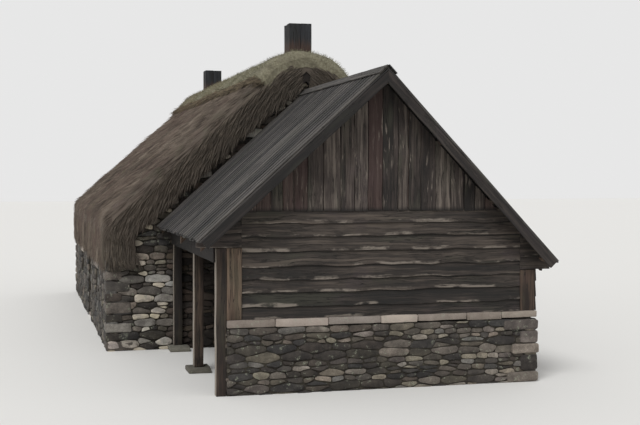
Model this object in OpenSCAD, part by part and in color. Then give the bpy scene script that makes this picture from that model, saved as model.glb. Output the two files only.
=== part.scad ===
// Turf house: a rubble stone house under a rounded thatch laid over turf,
// with a narrower board-roofed timber bay against its near gable.
// Millimetres. X runs across the house, Y along the ridge away from the timber bay, Z up.
// The origin is on the ground at the middle of the whole building.

/* [Stone house] */
// Length of the stone house over its gable walls
house_length = 10750; // [9600:50:12000]
// Width of the stone house over its long walls
house_width = 7160; // [6600:20:7800]
// Thickness of the rubble walls
wall_thickness = 750; // [650:10:850]
// Height of the long walls, from the yard to the wall head
wall_height = 1680; // [1600:10:1900]

/* [Thatched roof] */
// Pitch of the thatched slopes, in degrees
thatch_pitch = 41.5; // [39:0.5:44]
// Thickness of the thatch, square to the slope
thatch_thickness = 480; // [420:10:520]
// Thickness of the turf layer under the thatch
turf_thickness = 130; // [100:5:160]
// Radius of the rounded ridge
ridge_radius = 1000; // [850:10:1100]
// Radius of the rounded shoulder over the wall head
shoulder_radius = 600; // [450:10:750]
// How far the thatch stands out past the long walls
eave_overhang = 100; // [80:5:160]
// Radius of the rounded lower edge of the eaves
lip_radius = 90; // [60:5:110]
// How far the thatch runs out past the gable walls
verge_overhang = 200; // [150:10:260]
// Length over which the thatch rounds down to its ends
verge_round = 380; // [250:10:480]
// Depth of that rounding at the ends of the thatch
verge_roll = 220; // [140:10:260]
// Number of bulges along the ridge that the old thatch has settled into
bulge_count = 11; // [8:1:13]
// Depth of the hollows between the bulges
hollow_depth = 40; // [20:2:50]
// Share of a bulge, at each end, over which it falls to the hollow
hollow_share = 0.4; // [0.3:0.05:0.4]
// How far the turf layer runs out past the gable walls
turf_overhang = 150; // [80:10:180]
// How far the turf layer runs down past the inner end of the couples' seat
turf_foot = 120; // [110:5:160]

/* [Ridge turf] */
// Thickness of the turf laid over the ridge
ridge_turf_thickness = 110; // [80:5:140]
// Length of the straight sides of the ridge turf, below the rounded ridge
ridge_turf_side = 260; // [120:10:400]

/* [Chimneys] */
// Outside width of each chimney
chimney_width = 430; // [380:10:520]
// Thickness of the chimney boards
chimney_wall = 45; // [35:5:60]
// Height of the chimneys above the top of the ridge turf
chimney_rise = 520; // [400:10:700]
// Depth of the chimney feet in the gable walls, below the wall tops
chimney_foot = 300; // [200:10:400]
// Distance from the outer face of a gable wall to the middle of its chimney
chimney_setback = 500; // [420:5:520]

/* [House roof timbers] */
// How far the feet of the couples reach onto the wall head, from inside
couple_reach = 370; // [320:10:400]
// Depth of the couple timbers, square to the slope
couple_depth = 140; // [110:5:160]
// Width of the couple timbers
couple_width = 120; // [90:5:150]
// Length of the level seat that the couples have on the wall head
couple_bearing = 90; // [60:10:110]
// Number of couples between the gable walls
couple_count = 5; // [3:1:7]
// Diameter of the purlin poles
purlin_diameter = 100; // [80:5:110]
// Number of purlin poles on each slope
purlin_count = 4; // [3:1:5]
// Height of the collar beams above the wall head
collar_rise = 850; // [700:10:1100]
// Depth of the collar beams
collar_depth = 120; // [90:5:150]

/* [Door and windows] */
// Distance from the near gable face to the middle of the doorway
door_place = 5100; // [4800:10:5800]
// Width of the doorway
door_width = 850; // [750:10:950]
// Height of the doorway
door_height = 1520; // [1400:10:1530]
// Distance from the near gable face to the middle of the near window
near_window_place = 2700; // [2200:10:3200]
// Distance from the near gable face to the middle of the far window
far_window_place = 7700; // [7300:10:8400]
// Width of the windows
window_width = 600; // [500:10:700]
// Height of the windows
window_height = 480; // [400:10:520]
// Height of the window sills
window_sill = 800; // [700:10:840]
// Depth of the lintel stones
lintel_depth = 130; // [100:5:150]
// How far the lintel stones bear on the walls at each end
lintel_bearing = 160; // [120:10:220]
// Height of the threshold stone
threshold_height = 70; // [50:5:100]
// Width of the door and window frame timbers
frame_width = 60; // [50:5:80]
// Depth of the door and window frame timbers
frame_depth = 90; // [70:5:110]
// How far the frames sit back from the outer wall face
frame_setback = 240; // [150:10:320]
// Thickness of the door leaf
door_thickness = 45; // [35:5:55]
// Width of the planks of the door leaf
door_plank = 122; // [90:1:180]
// Thickness of the window glass
glass_thickness = 6; // [4:1:8]

/* [Timber bay] */
// Length of the board roof from its front edge to the stone gable
bay_length = 4950; // [4400:10:5500]
// Width of the timber bay over its walls
bay_width = 4860; // [4400:20:5200]
// How far the board roof runs out past the front wall
front_overhang = 330; // [240:10:420]
// How far the ridge of the board roof lies below the turf layer of the house
bay_ridge_drop = 160; // [100:10:400]
// How far the left eave reaches from the ridge
left_eave_reach = 2750; // [2700:10:2800]
// How far the left eave lies below the slope of the turf layer
left_eave_drop = 200; // [100:10:400]
// How far the right eave reaches from the ridge
right_eave_reach = 2700; // [2650:10:2800]
// How far the right eave lies below the slope of the turf layer
right_eave_drop = 620; // [300:10:680]

/* [Board roof] */
// Thickness of one roof board
roof_board = 25; // [20:1:32]
// Width of the upper roof boards
cover_board = 150; // [120:5:200]
// Gap between the upper roof boards
cover_gap = 60; // [40:5:90]
// Width of each ridge board
ridge_board_width = 170; // [130:5:220]
// Depth of the bargeboards
barge_depth = 130; // [100:5:160]
// Thickness of the bargeboards
barge_thickness = 30; // [25:1:40]
// Depth of the purlins under the boards
bay_purlin_depth = 60; // [50:5:80]
// Width of the purlins under the boards
bay_purlin_width = 80; // [60:5:100]
// Number of purlins on each slope of the board roof
bay_purlin_count = 4; // [3:1:5]
// Distance down the slope from the ridge to the middle of the top purlins
top_purlin_place = 200; // [150:10:300]
// Distance up the slope from the eave to the middle of the lowest purlins
low_purlin_place = 130; // [80:10:200]
// Depth of the bay rafters
bay_rafter_depth = 90; // [80:5:110]
// Width of the bay rafters
bay_rafter_width = 100; // [80:5:120]
// How far the rafter tails stop short of the eaves
rafter_tail_gap = 120; // [80:10:200]

/* [Plinth] */
// Height of the rubble plinth, without its capping
plinth_height = 950; // [850:10:1000]
// Thickness of the rubble plinth
plinth_thickness = 480; // [400:10:560]
// Thickness of the capping slabs
cap_thickness = 120; // [90:5:140]
// How far the capping slabs stand out past the plinth
cap_lip = 40; // [20:5:60]
// Length of the padstones under the posts
padstone_length = 420; // [300:10:500]
// Width of the padstones
padstone_width = 360; // [260:10:420]
// Height of the padstones
padstone_height = 80; // [60:5:120]

/* [Posts and wall timbers] */
// Width of the posts on the open side
post_width = 150; // [130:5:180]
// Distance from the front wall to the middle of the middle post
middle_post_place = 2145; // [1900:5:2500]
// Width of the left gable post on the plinth
left_gable_post_width = 220; // [160:10:260]
// Width of the right gable post on the plinth
right_gable_post_width = 235; // [180:5:260]
// Depth of the gable posts
gable_post_depth = 200; // [160:10:240]
// Depth of the wall plates
plate_depth = 170; // [140:5:200]
// How deep the wall plates sit in the undersides of the rafters
plate_notch = 40; // [20:5:60]
// Height of the lower edge of the header board on the open side
header_height = 1880; // [1800:10:1960]
// Thickness of the header board
header_thickness = 30; // [25:1:40]
// Height of the top of the gable rail
rail_height = 2640; // [2500:10:2800]
// Depth of the gable rail and of the bay collars
rail_depth = 100; // [80:5:120]

/* [Wall boards] */
// Thickness of the wall boards
wall_board = 28; // [22:1:35]
// Width of the standing boards in the top of the gable
standing_board = 205; // [150:5:260]
// Gap between the standing boards
standing_gap = 14; // [8:1:20]
// Visible height of the lying slab boards
slab_board = 190; // [140:5:240]
// How far the lower edge of each slab board stands out
slab_lap = 22; // [12:1:30]
// How far the gable boards lie back from the faces of the posts
board_setback = 10; // [5:1:20]
// Width of the studs behind the gable boards
stud_width = 90; // [70:5:110]

/* [Hidden] */

left = -1;
right = 1;
ridge_steps = 6;
shoulder_steps = 6;
lip_steps = 3;
round_steps = 5;
hollow_steps = 2;
// Larger than the building, for pieces that cut others
beyond = 20000;

// Places along Y
building_length = bay_length + house_length + verge_overhang;
front_y = -building_length / 2;
bay_wall_y = front_y + front_overhang;
house_y = front_y + bay_length;
house_back_y = house_y + house_length;
near_inside_y = house_y + wall_thickness;
far_inside_y = house_back_y - wall_thickness;

// Places across the stone house
wall_x = house_width / 2;
inside_x = wall_x - wall_thickness;

// The house roof, built up from the seat of the couples on the wall head
pitch_slope = tan(thatch_pitch);
function upright(depth) = depth / cos(thatch_pitch);
seat_x = inside_x + couple_reach;
couple_under = wall_height + pitch_slope * seat_x;
couple_top = couple_under + upright(couple_depth);
turf_under = couple_top + upright(purlin_diameter);
turf_top = turf_under + upright(turf_thickness);
thatch_apex = turf_top + upright(thatch_thickness);
couple_foot_x = seat_x + couple_bearing;
eave_back_x = seat_x + turf_foot;
eave_x = wall_x + eave_overhang;

// The rounded outline of the thatch
ridge_centre_z = thatch_apex - ridge_radius / cos(thatch_pitch);
ridge_z = ridge_centre_z + ridge_radius;
shoulder_z = thatch_apex - pitch_slope * eave_x
    - shoulder_radius * tan((90 - thatch_pitch) / 2);
turf_ridge_z = ridge_z + ridge_turf_thickness;

// The chimneys
chimney_base_z = turf_under - chimney_foot;
chimney_top_z = turf_ridge_z + chimney_rise;
near_chimney_y = house_y + chimney_setback;
far_chimney_y = house_back_y - chimney_setback;

// The door and windows, in the left wall
door_y = house_y + door_place;
near_window_y = house_y + near_window_place;
far_window_y = house_y + far_window_place;
window_head = window_sill + window_height;
frame_x = -wall_x + frame_setback;

// The timber bay
bay_ridge_height = turf_under - bay_ridge_drop;
bay_x = bay_width / 2;
post_x = bay_x - post_width;
roof_thickness = 2 * roof_board;
roof_build = roof_thickness + bay_purlin_depth + bay_rafter_depth;
cap_top = plinth_height + cap_thickness;
board_face_y = bay_wall_y + board_setback;
frame_face_y = board_face_y + wall_board + slab_lap;
middle_post_y = bay_wall_y + middle_post_place;
back_post_y = house_y - post_width / 2;
plinth_left_x = -post_x;

function eave_reach(side) = side == left ? left_eave_reach : right_eave_reach;
function eave_drop(side) = side == left ? left_eave_drop : right_eave_drop;
function eave_height(side) = turf_under - pitch_slope * eave_reach(side) - eave_drop(side);
function bay_fall(side) = (bay_ridge_height - eave_height(side)) / eave_reach(side);
function bay_pitch(side) = atan(bay_fall(side));
function bay_upright(side, depth) = depth / cos(bay_pitch(side));
// Height of a face that lies a given depth under the top of the board roof
function roof_z(side, depth, x) =
    bay_ridge_height - bay_upright(side, depth) - bay_fall(side) * x;
function plate_top(side) = roof_z(side, roof_build, bay_x) + plate_notch;
function plate_foot(side) = plate_top(side) - plate_depth;

stone_color = "#a39d92";
cap_color = "#b5aca2";
thatch_color = "#8a7d6c";
turf_color = "#6e5f45";
grass_color = "#7f8058";
soot_color = "#34383f";
timber_color = "#7b6858";
gable_color = "#675d55";
roof_color = "#77736f";

function arc(x, z, radius, from, to, steps) =
    [for (i = [0:steps]) let (a = from + (to - from) * i / steps)
        [x + radius * cos(a), z + radius * sin(a)]];

function reversed(list) = [for (i = [len(list) - 1:-1:0]) list[i]];

// Sections of the roof along Y: place, and how far the outline is drawn in there
function rounded_end(turn) =
    [verge_round * (1 - cos(turn)), verge_roll * (1 - sin(turn))];
end_turns = [for (i = [0:round_steps]) 90 * i / round_steps];
near_verge = house_y - verge_overhang;
far_verge = house_back_y + verge_overhang;
near_sections = [for (turn = end_turns)
    [near_verge + rounded_end(turn)[0], rounded_end(turn)[1]]];
far_sections = [for (turn = reversed(end_turns))
    [far_verge - rounded_end(turn)[0], rounded_end(turn)[1]]];

// The hollows lie at slightly uneven distances, and each shares a short length of full depth
bulge_length = (far_verge - near_verge - 2 * verge_round) / bulge_count;
hollow_stray = 0.08;
hollow_turn = 137;
hollow_lap = 5;
function hollow_y(i) = near_verge + verge_round
    + bulge_length * (i + hollow_stray * sin(hollow_turn * i));
function hollow_side(i, way) = concat([[hollow_y(i) - way * hollow_lap, hollow_depth]],
    [for (step = [0:hollow_steps]) let (t = step / hollow_steps)
        [hollow_y(i) + way * t * hollow_share * bulge_length, hollow_depth * pow(1 - t, 2)]]);
function bulge_sections(i) = concat(
    i == 0 ? near_sections : hollow_side(i, 1),
    i == bulge_count - 1 ? far_sections : reversed(hollow_side(i + 1, -1)));

// Outer outline of one slope of the thatch, down to the wall head and the middle
function thatch_outline(inset) = concat(
    arc(0, ridge_centre_z, ridge_radius - inset, 90, 90 - thatch_pitch, ridge_steps),
    arc(eave_x - shoulder_radius, shoulder_z, shoulder_radius - inset,
        90 - thatch_pitch, 0, shoulder_steps),
    arc(eave_x - inset - lip_radius, wall_height + lip_radius, lip_radius,
        0, -90, lip_steps),
    [[0, wall_height]]);

// One straight side of the ridge turf, from the end of the rounded ridge down
function turf_side(side, radius) =
    let (reach = radius * sin(thatch_pitch) + ridge_turf_side * cos(thatch_pitch),
        drop = radius * cos(thatch_pitch) - ridge_turf_side * sin(thatch_pitch))
    [[side * reach, ridge_centre_z + drop]];

function ridge_turf_outline(inset) =
    let (top = ridge_radius + ridge_turf_thickness - inset,
        under = ridge_radius - inset - hollow_depth)
    concat(turf_side(left, top),
        arc(0, ridge_centre_z, top, 90 + thatch_pitch, 90 - thatch_pitch, 2 * ridge_steps),
        turf_side(right, top), turf_side(right, under), turf_side(left, under));

// The rounded body that holds one outline at each of some sections
module roof_body(sections, outlines) {
    points = [for (i = [0:len(sections) - 1]) for (p = outlines[i])
        [p[0], sections[i][0], p[1]]];
    hull()
        polyhedron(points = points, faces = [[for (i = [0:len(points) - 1]) i]]);
}

// Extrudes an X-Z outline along Y, from one place to another
module along(from, to) {
    translate([0, to, 0])
        rotate([90, 0, 0])
            linear_extrude(height = to - from)
                children();
}

module block(low, high) {
    translate(low)
        cube(high - low);
}

module on_side(side) {
    if (side == left)
        mirror([1, 0, 0])
            children();
    else
        children();
}

// The stone house

module gable_outline() {
    peak_run = (turf_under - wall_height) / pitch_slope;
    shoulder_run = min(peak_run, wall_x);
    polygon([[-wall_x, 0], [wall_x, 0], [wall_x, wall_height],
        [shoulder_run, wall_height], [0, turf_under], [-shoulder_run, wall_height],
        [-wall_x, wall_height]]);
}

module chimney_block(y) {
    half = chimney_width / 2;
    block([-half, y - half, chimney_base_z], [half, y + half, chimney_top_z]);
}

module near_gable_wall() {
    color(stone_color)
        difference() {
            along(house_y, near_inside_y)
                gable_outline();
            chimney_block(near_chimney_y);
        }
}

module far_gable_wall() {
    color(stone_color)
        difference() {
            along(far_inside_y, house_back_y)
                gable_outline();
            chimney_block(far_chimney_y);
        }
}

module lintel_stone(y, width, foot) {
    half = width / 2 + lintel_bearing;
    block([-wall_x, y - half, foot], [-inside_x, y + half, foot + lintel_depth]);
}

module door_lintel() {
    lintel_stone(door_y, door_width, door_height);
}

module window_cut(y) {
    half = window_width / 2;
    block([-wall_x - 1, y - half, window_sill], [-inside_x + 1, y + half, window_head]);
    lintel_stone(y, window_width, window_head);
}

module left_wall_near() {
    color(stone_color)
        difference() {
            block([-wall_x, near_inside_y, 0],
                [-inside_x, door_y - door_width / 2, wall_height]);
            window_cut(near_window_y);
            door_lintel();
        }
}

module left_wall_far() {
    color(stone_color)
        difference() {
            block([-wall_x, door_y + door_width / 2, 0],
                [-inside_x, far_inside_y, wall_height]);
            window_cut(far_window_y);
            door_lintel();
        }
}

module right_wall() {
    color(stone_color)
        block([inside_x, near_inside_y, 0], [wall_x, far_inside_y, wall_height]);
}

module lintels() {
    color(cap_color) {
        door_lintel();
        lintel_stone(near_window_y, window_width, window_head);
        lintel_stone(far_window_y, window_width, window_head);
    }
}

module threshold_stone() {
    half = door_width / 2;
    color(cap_color)
        block([-wall_x, door_y - half, 0], [-inside_x, door_y + half, threshold_height]);
}

module door_frame() {
    half = door_width / 2;
    color(timber_color)
        difference() {
            block([frame_x, door_y - half, threshold_height],
                [frame_x + frame_depth, door_y + half, door_height]);
            block([frame_x - 1, door_y - half + frame_width, threshold_height - 1],
                [frame_x + frame_depth + 1, door_y + half - frame_width,
                    door_height - frame_width]);
        }
}

// The leaf is planks with fine joints between them, held by three ledges
module house_door() {
    half = door_width / 2 - frame_width;
    joint_width = 4;
    ledge_depth = 25;
    ledge_height = 110;
    foot = threshold_height;
    head = door_height - frame_width;
    inner_x = frame_x + door_thickness;
    color(timber_color)
        union() {
            difference() {
                block([frame_x, door_y - half, foot], [inner_x, door_y + half, head]);
                for (y = [door_y - half + door_plank:door_plank:door_y + half - joint_width])
                    block([frame_x - 1, y, foot - 1],
                        [frame_x + joint_width, y + joint_width, head + 1]);
            }
            for (place = [0.12, 0.5, 0.88])
                block([inner_x, door_y - half, foot + place * (head - foot) - ledge_height / 2],
                    [inner_x + ledge_depth, door_y + half,
                        foot + place * (head - foot) + ledge_height / 2]);
        }
}

module window_frame(y) {
    half = window_width / 2;
    difference() {
        block([frame_x, y - half, window_sill], [frame_x + frame_depth, y + half, window_head]);
        block([frame_x - 1, y - half + frame_width, window_sill + frame_width],
            [frame_x + frame_depth + 1, y + half - frame_width, window_head - frame_width]);
    }
}

module window_frames() {
    color(timber_color) {
        window_frame(near_window_y);
        window_frame(far_window_y);
    }
}

module window_pane(y) {
    half = window_width / 2 - frame_width;
    middle_x = frame_x + frame_depth / 2;
    block([middle_x - glass_thickness / 2, y - half, window_sill + frame_width],
        [middle_x + glass_thickness / 2, y + half, window_head - frame_width]);
}

module window_glass() {
    color("#9fb4b8") {
        window_pane(near_window_y);
        window_pane(far_window_y);
    }
}

// The house roof

inside_length = far_inside_y - near_inside_y;
function couple_y(i) = near_inside_y + inside_length * (i + 1) / (couple_count + 1);

module couple_timbers() {
    for (i = [0:couple_count - 1])
        along(couple_y(i) - couple_width / 2, couple_y(i) + couple_width / 2)
            polygon([[0, couple_under], [seat_x, wall_height], [couple_foot_x, wall_height],
                [couple_foot_x, couple_top - pitch_slope * couple_foot_x], [0, couple_top]]);
}

module left_couples() {
    color(timber_color)
        on_side(left)
            couple_timbers();
}

module right_couples() {
    color(timber_color)
        couple_timbers();
}

module collar_beams() {
    foot = wall_height + collar_rise;
    foot_x = (couple_under - foot) / pitch_slope;
    head_x = (couple_under - foot - collar_depth) / pitch_slope;
    color(timber_color)
        for (i = [0:couple_count - 1])
            along(couple_y(i) - couple_width / 2, couple_y(i) + couple_width / 2)
                polygon([[-foot_x, foot], [foot_x, foot], [head_x, foot + collar_depth],
                    [-head_x, foot + collar_depth]]);
}

// A pole that lies on the couples, at a distance from the ridge measured across
module purlin_pole(x) {
    pole_z = couple_top - pitch_slope * x + upright(purlin_diameter / 2);
    translate([x, near_inside_y, pole_z])
        rotate([-90, 0, 0])
            cylinder(d = purlin_diameter, h = inside_length, $fn = 24);
}

// The ridge pole sits in the fork of the couples and touches both turf slopes
module house_purlins() {
    ridge_pole_radius = (turf_under - couple_top) * cos(thatch_pitch)
        / (1 + cos(thatch_pitch));
    first_x = 450;
    color(timber_color) {
        translate([0, near_inside_y, couple_top + ridge_pole_radius])
            rotate([-90, 0, 0])
                cylinder(r = ridge_pole_radius, h = inside_length, $fn = 24);
        for (side = [left, right])
            for (i = [0:purlin_count - 1])
                on_side(side)
                    purlin_pole(first_x + (seat_x - first_x) * i / purlin_count);
    }
}

module turf_slope() {
    along(house_y - turf_overhang, house_back_y + turf_overhang)
        polygon([[0, turf_under], [eave_back_x, turf_under - pitch_slope * eave_back_x],
            [eave_back_x, turf_top - pitch_slope * eave_back_x], [0, turf_top]]);
}

module chimney_blocks() {
    chimney_block(near_chimney_y);
    chimney_block(far_chimney_y);
}

module left_turf_layer() {
    color(turf_color)
        difference() {
            on_side(left)
                turf_slope();
            chimney_blocks();
        }
}

module right_turf_layer() {
    color(turf_color)
        difference() {
            turf_slope();
            chimney_blocks();
        }
}

module thatch_body() {
    for (i = [0:bulge_count - 1]) {
        sections = bulge_sections(i);
        roof_body(sections, [for (section = sections) thatch_outline(section[1])]);
    }
}

module thatch_slope() {
    difference() {
        thatch_body();
        along(-beyond, beyond)
            polygon([[-1, 0], [eave_back_x, 0],
                [eave_back_x, turf_top - pitch_slope * eave_back_x], [0, turf_top],
                [-1, turf_top]]);
    }
}

module left_thatch() {
    color(thatch_color)
        difference() {
            on_side(left)
                thatch_slope();
            chimney_blocks();
        }
}

module right_thatch() {
    color(thatch_color)
        difference() {
            thatch_slope();
            chimney_blocks();
        }
}

module ridge_turf() {
    sections = concat(near_sections, far_sections);
    color(grass_color)
        difference() {
            roof_body(sections, [for (section = sections) ridge_turf_outline(section[1])]);
            thatch_body();
            on_side(left)
                thatch_body();
            chimney_blocks();
        }
}

// A box chimney of upright boards, open from its foot to its top
module chimney(y) {
    half = chimney_width / 2;
    bore = half - chimney_wall;
    color(soot_color)
        difference() {
            chimney_block(y);
            block([-bore, y - bore, chimney_base_z - 1], [bore, y + bore, chimney_top_z + 1]);
        }
}

module near_chimney() {
    chimney(near_chimney_y);
}

module far_chimney() {
    chimney(far_chimney_y);
}

// The timber bay

module front_plinth() {
    color(stone_color)
        block([plinth_left_x, bay_wall_y, 0], [bay_x, bay_wall_y + plinth_thickness, plinth_height]);
}

module right_plinth() {
    color(stone_color)
        block([bay_x - plinth_thickness, bay_wall_y + plinth_thickness, 0],
            [bay_x, house_y, plinth_height]);
}

module plinth_cap() {
    color(cap_color)
        union() {
            block([plinth_left_x, bay_wall_y - cap_lip, plinth_height],
                [bay_x + cap_lip, bay_wall_y + plinth_thickness, cap_top]);
            block([bay_x - plinth_thickness, bay_wall_y, plinth_height],
                [bay_x + cap_lip, house_y, cap_top]);
        }
}

module padstone(y) {
    middle_x = -(bay_x - post_width / 2);
    block([middle_x - padstone_width / 2, y, 0],
        [middle_x + padstone_width / 2, y + padstone_length, padstone_height]);
}

module padstones() {
    color(cap_color) {
        padstone(middle_post_y - padstone_length / 2);
        padstone(house_y - padstone_length);
    }
}

module left_post(y, foot) {
    block([-bay_x, y - post_width / 2, foot], [-post_x, y + post_width / 2, plate_foot(left)]);
}

module left_posts() {
    color(timber_color) {
        left_post(bay_wall_y + post_width / 2, 0);
        left_post(middle_post_y, padstone_height);
        left_post(back_post_y, padstone_height);
    }
}

module gable_posts() {
    back_y = bay_wall_y + gable_post_depth;
    color(timber_color) {
        block([-post_x, bay_wall_y, cap_top],
            [-post_x + left_gable_post_width, back_y, plate_foot(left)]);
        block([bay_x - right_gable_post_width, bay_wall_y, cap_top],
            [bay_x, back_y, plate_foot(right)]);
    }
}

module right_posts() {
    color(timber_color)
        for (y = [middle_post_y, back_post_y])
            block([post_x, y - post_width / 2, cap_top],
                [bay_x, y + post_width / 2, plate_foot(right)]);
}

module wall_plate(side) {
    on_side(side)
        block([post_x, frame_face_y, plate_foot(side)], [bay_x, house_y, plate_top(side)]);
}

module left_plate() {
    color(timber_color)
        wall_plate(left);
}

module right_plate() {
    color(timber_color)
        wall_plate(right);
}

// A board along the open side, nailed to the posts and the plate under the rafters
module left_header_board() {
    head = roof_z(left, roof_build, bay_x + header_thickness);
    color(gable_color)
        block([-bay_x - header_thickness, frame_face_y, header_height],
            [-bay_x, house_y, head]);
}

module rail_between_rafters(from) {
    foot = rail_height - rail_depth;
    function reach(side, z) =
        (roof_z(side, roof_build, 0) - z) / bay_fall(side);
    along(from, from + bay_rafter_width)
        polygon([[-reach(left, foot), foot], [reach(right, foot), foot],
            [reach(right, rail_height), rail_height],
            [-reach(left, rail_height), rail_height]]);
}

module gable_rail() {
    color(timber_color)
        rail_between_rafters(frame_face_y);
}

module gable_studs() {
    color(timber_color)
        for (x = [-post_x / 2, 0, post_x / 2])
            block([x - stud_width / 2, frame_face_y, cap_top],
                [x + stud_width / 2, frame_face_y + stud_width, rail_height - rail_depth]);
}

rafter_places = [frame_face_y, middle_post_y - bay_rafter_width / 2, house_y - bay_rafter_width];

module bay_rafters(side) {
    top = roof_thickness + bay_purlin_depth;
    foot_x = eave_reach(side) - rafter_tail_gap;
    color(timber_color)
        difference() {
            on_side(side)
                for (y = rafter_places)
                    along(y, y + bay_rafter_width)
                        polygon([[0, roof_z(side, top, 0)], [0, roof_z(side, roof_build, 0)],
                            [foot_x, roof_z(side, roof_build, foot_x)],
                            [foot_x, roof_z(side, top, foot_x)]]);
            wall_plate(side);
        }
}

module bay_left_rafters() {
    bay_rafters(left);
}

module bay_right_rafters() {
    bay_rafters(right);
}

// Purlins lie on the rafters and run out to the bargeboards
module bay_purlins() {
    color(timber_color)
        for (side = [left, right])
            for (i = [0:bay_purlin_count - 1]) {
                spread = eave_reach(side) / cos(bay_pitch(side))
                    - top_purlin_place - low_purlin_place;
                place = top_purlin_place + spread * i / (bay_purlin_count - 1);
                on_side(side)
                    translate([0, 0, bay_ridge_height])
                        rotate([0, bay_pitch(side), 0])
                            block([place - bay_purlin_width / 2, front_y + barge_thickness,
                                    -roof_thickness - bay_purlin_depth],
                                [place + bay_purlin_width / 2, house_y, -roof_thickness]);
            }
}

module bay_collars() {
    color(timber_color)
        for (i = [1, 2])
            rail_between_rafters(rafter_places[i]);
}

// Outline of the gable boards: under the purlins, between the gable posts, and above
// the posts out to both eaves
module gable_field() {
    depth = roof_thickness + bay_purlin_depth;
    function reach(side) = (roof_z(side, depth, 0) - plate_foot(side)) / bay_fall(side);
    left_x = -post_x + left_gable_post_width;
    right_x = bay_x - right_gable_post_width;
    polygon([[left_x, cap_top], [right_x, cap_top], [right_x, plate_foot(right)],
        [reach(right), plate_foot(right)], [0, roof_z(right, depth, 0)],
        [0, roof_z(left, depth, 0)], [-reach(left), plate_foot(left)],
        [left_x, plate_foot(left)]]);
}

// Lying slab boards, each leaning out at its lower edge over the one below
module gable_lower_boards() {
    count = ceil((rail_height - cap_top) / slab_board);
    profile = [for (i = [0:count - 1])
        each [[-slab_lap, cap_top + i * slab_board],
            [0, min(cap_top + (i + 1) * slab_board, rail_height)]]];
    color(gable_color)
        intersection() {
            along(board_face_y, frame_face_y)
                gable_field();
            translate([-beyond / 2, board_face_y + slab_lap, 0])
                rotate([90, 0, 90])
                    linear_extrude(height = beyond)
                        polygon(concat(profile, [[wall_board, rail_height],
                            [wall_board, cap_top]]));
        }
}

// Standing boards: the under boards show in the gaps between the outer ones
module gable_upper_boards() {
    pitch = standing_board + standing_gap;
    half_count = ceil(bay_x / pitch);
    thickness = wall_board + slab_lap;
    outline = concat(
        [for (i = [-half_count:half_count - 1])
            each [[i * pitch, 0], [i * pitch + standing_board, 0],
                [i * pitch + standing_board, slab_lap], [(i + 1) * pitch, slab_lap]]],
        [[half_count * pitch, thickness], [-half_count * pitch, thickness]]);
    color(gable_color)
        intersection() {
            along(board_face_y, frame_face_y)
                gable_field();
            translate([0, board_face_y, rail_height])
                linear_extrude(height = bay_ridge_height)
                    polygon(outline);
        }
}

module right_wall_boards() {
    thickness = wall_board + slab_lap;
    head = roof_z(right, roof_build, bay_x + thickness);
    count = floor((head - cap_top) / slab_board);
    lift = (head - cap_top) / count;
    profile = [for (i = [0:count - 1])
        each [[thickness, cap_top + i * lift], [wall_board, cap_top + (i + 1) * lift]]];
    color(gable_color)
        translate([bay_x, 0, 0])
            along(frame_face_y, house_y)
                polygon(concat([[0, head], [0, cap_top]], profile));
}

// Under boards close the slope and upper boards cover their joints
module board_roof(side) {
    pitch = cover_board + cover_gap;
    count = floor((bay_length - cover_board) / pitch);
    spare = bay_length - count * pitch - cover_board;
    start = front_y + spare / 2;
    outline = concat([[front_y, 0], [front_y, roof_board]],
        [for (i = [0:count])
            each [[start + i * pitch, roof_board], [start + i * pitch, roof_thickness],
                [start + i * pitch + cover_board, roof_thickness],
                [start + i * pitch + cover_board, roof_board]]],
        [[house_y, roof_board], [house_y, 0]]);
    slope_length = eave_reach(side) / cos(bay_pitch(side));
    color(roof_color)
        intersection() {
            on_side(side)
                translate([0, 0, bay_ridge_height])
                    rotate([0, bay_pitch(side), 0])
                        translate([-roof_thickness * 2, 0, -roof_thickness])
                            rotate([90, 0, 90])
                                linear_extrude(height = slope_length + roof_thickness * 2)
                                    polygon(outline);
            on_side(side)
                block([0, -beyond / 2, 0], [beyond, beyond / 2, beyond]);
        }
}

module left_board_roof() {
    board_roof(left);
}

module right_board_roof() {
    board_roof(right);
}

module ridge_boards() {
    function corner(side, depth, place) =
        let (x = place * cos(bay_pitch(side)) + depth * sin(bay_pitch(side)))
        [side * x, bay_ridge_height - place * sin(bay_pitch(side)) + depth * cos(bay_pitch(side))];
    function apex(depth) =
        [0, bay_ridge_height + min(bay_upright(left, depth), bay_upright(right, depth))];
    color(roof_color)
        along(front_y, house_y)
            polygon([[0, bay_ridge_height], corner(left, 0, ridge_board_width),
                corner(left, roof_board, ridge_board_width), apex(roof_board),
                corner(right, roof_board, ridge_board_width),
                corner(right, 0, ridge_board_width)]);
}

module bargeboards() {
    function barge_point(side, depth, x) = [side * x, roof_z(side, depth, x)];
    lower = roof_thickness + barge_depth;
    left_x = left_eave_reach - roof_thickness;
    right_x = right_eave_reach - roof_thickness;
    color(gable_color)
        along(front_y, front_y + barge_thickness)
            polygon([barge_point(left, roof_thickness, left_x),
                barge_point(left, roof_thickness, 0), barge_point(right, roof_thickness, 0),
                barge_point(right, roof_thickness, right_x),
                barge_point(right, lower, right_x), barge_point(right, lower, 0),
                barge_point(left, lower, 0), barge_point(left, lower, left_x)]);
}

near_gable_wall();
far_gable_wall();
left_wall_near();
left_wall_far();
right_wall();
lintels();
threshold_stone();
door_frame();
house_door();
window_frames();
window_glass();
left_couples();
right_couples();
collar_beams();
house_purlins();
left_turf_layer();
right_turf_layer();
left_thatch();
right_thatch();
ridge_turf();
near_chimney();
far_chimney();
front_plinth();
right_plinth();
plinth_cap();
padstones();
left_posts();
gable_posts();
right_posts();
left_plate();
right_plate();
left_header_board();
gable_rail();
gable_studs();
bay_left_rafters();
bay_right_rafters();
bay_purlins();
bay_collars();
gable_lower_boards();
gable_upper_boards();
right_wall_boards();
left_board_roof();
right_board_roof();
ridge_boards();
bargeboards();
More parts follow.
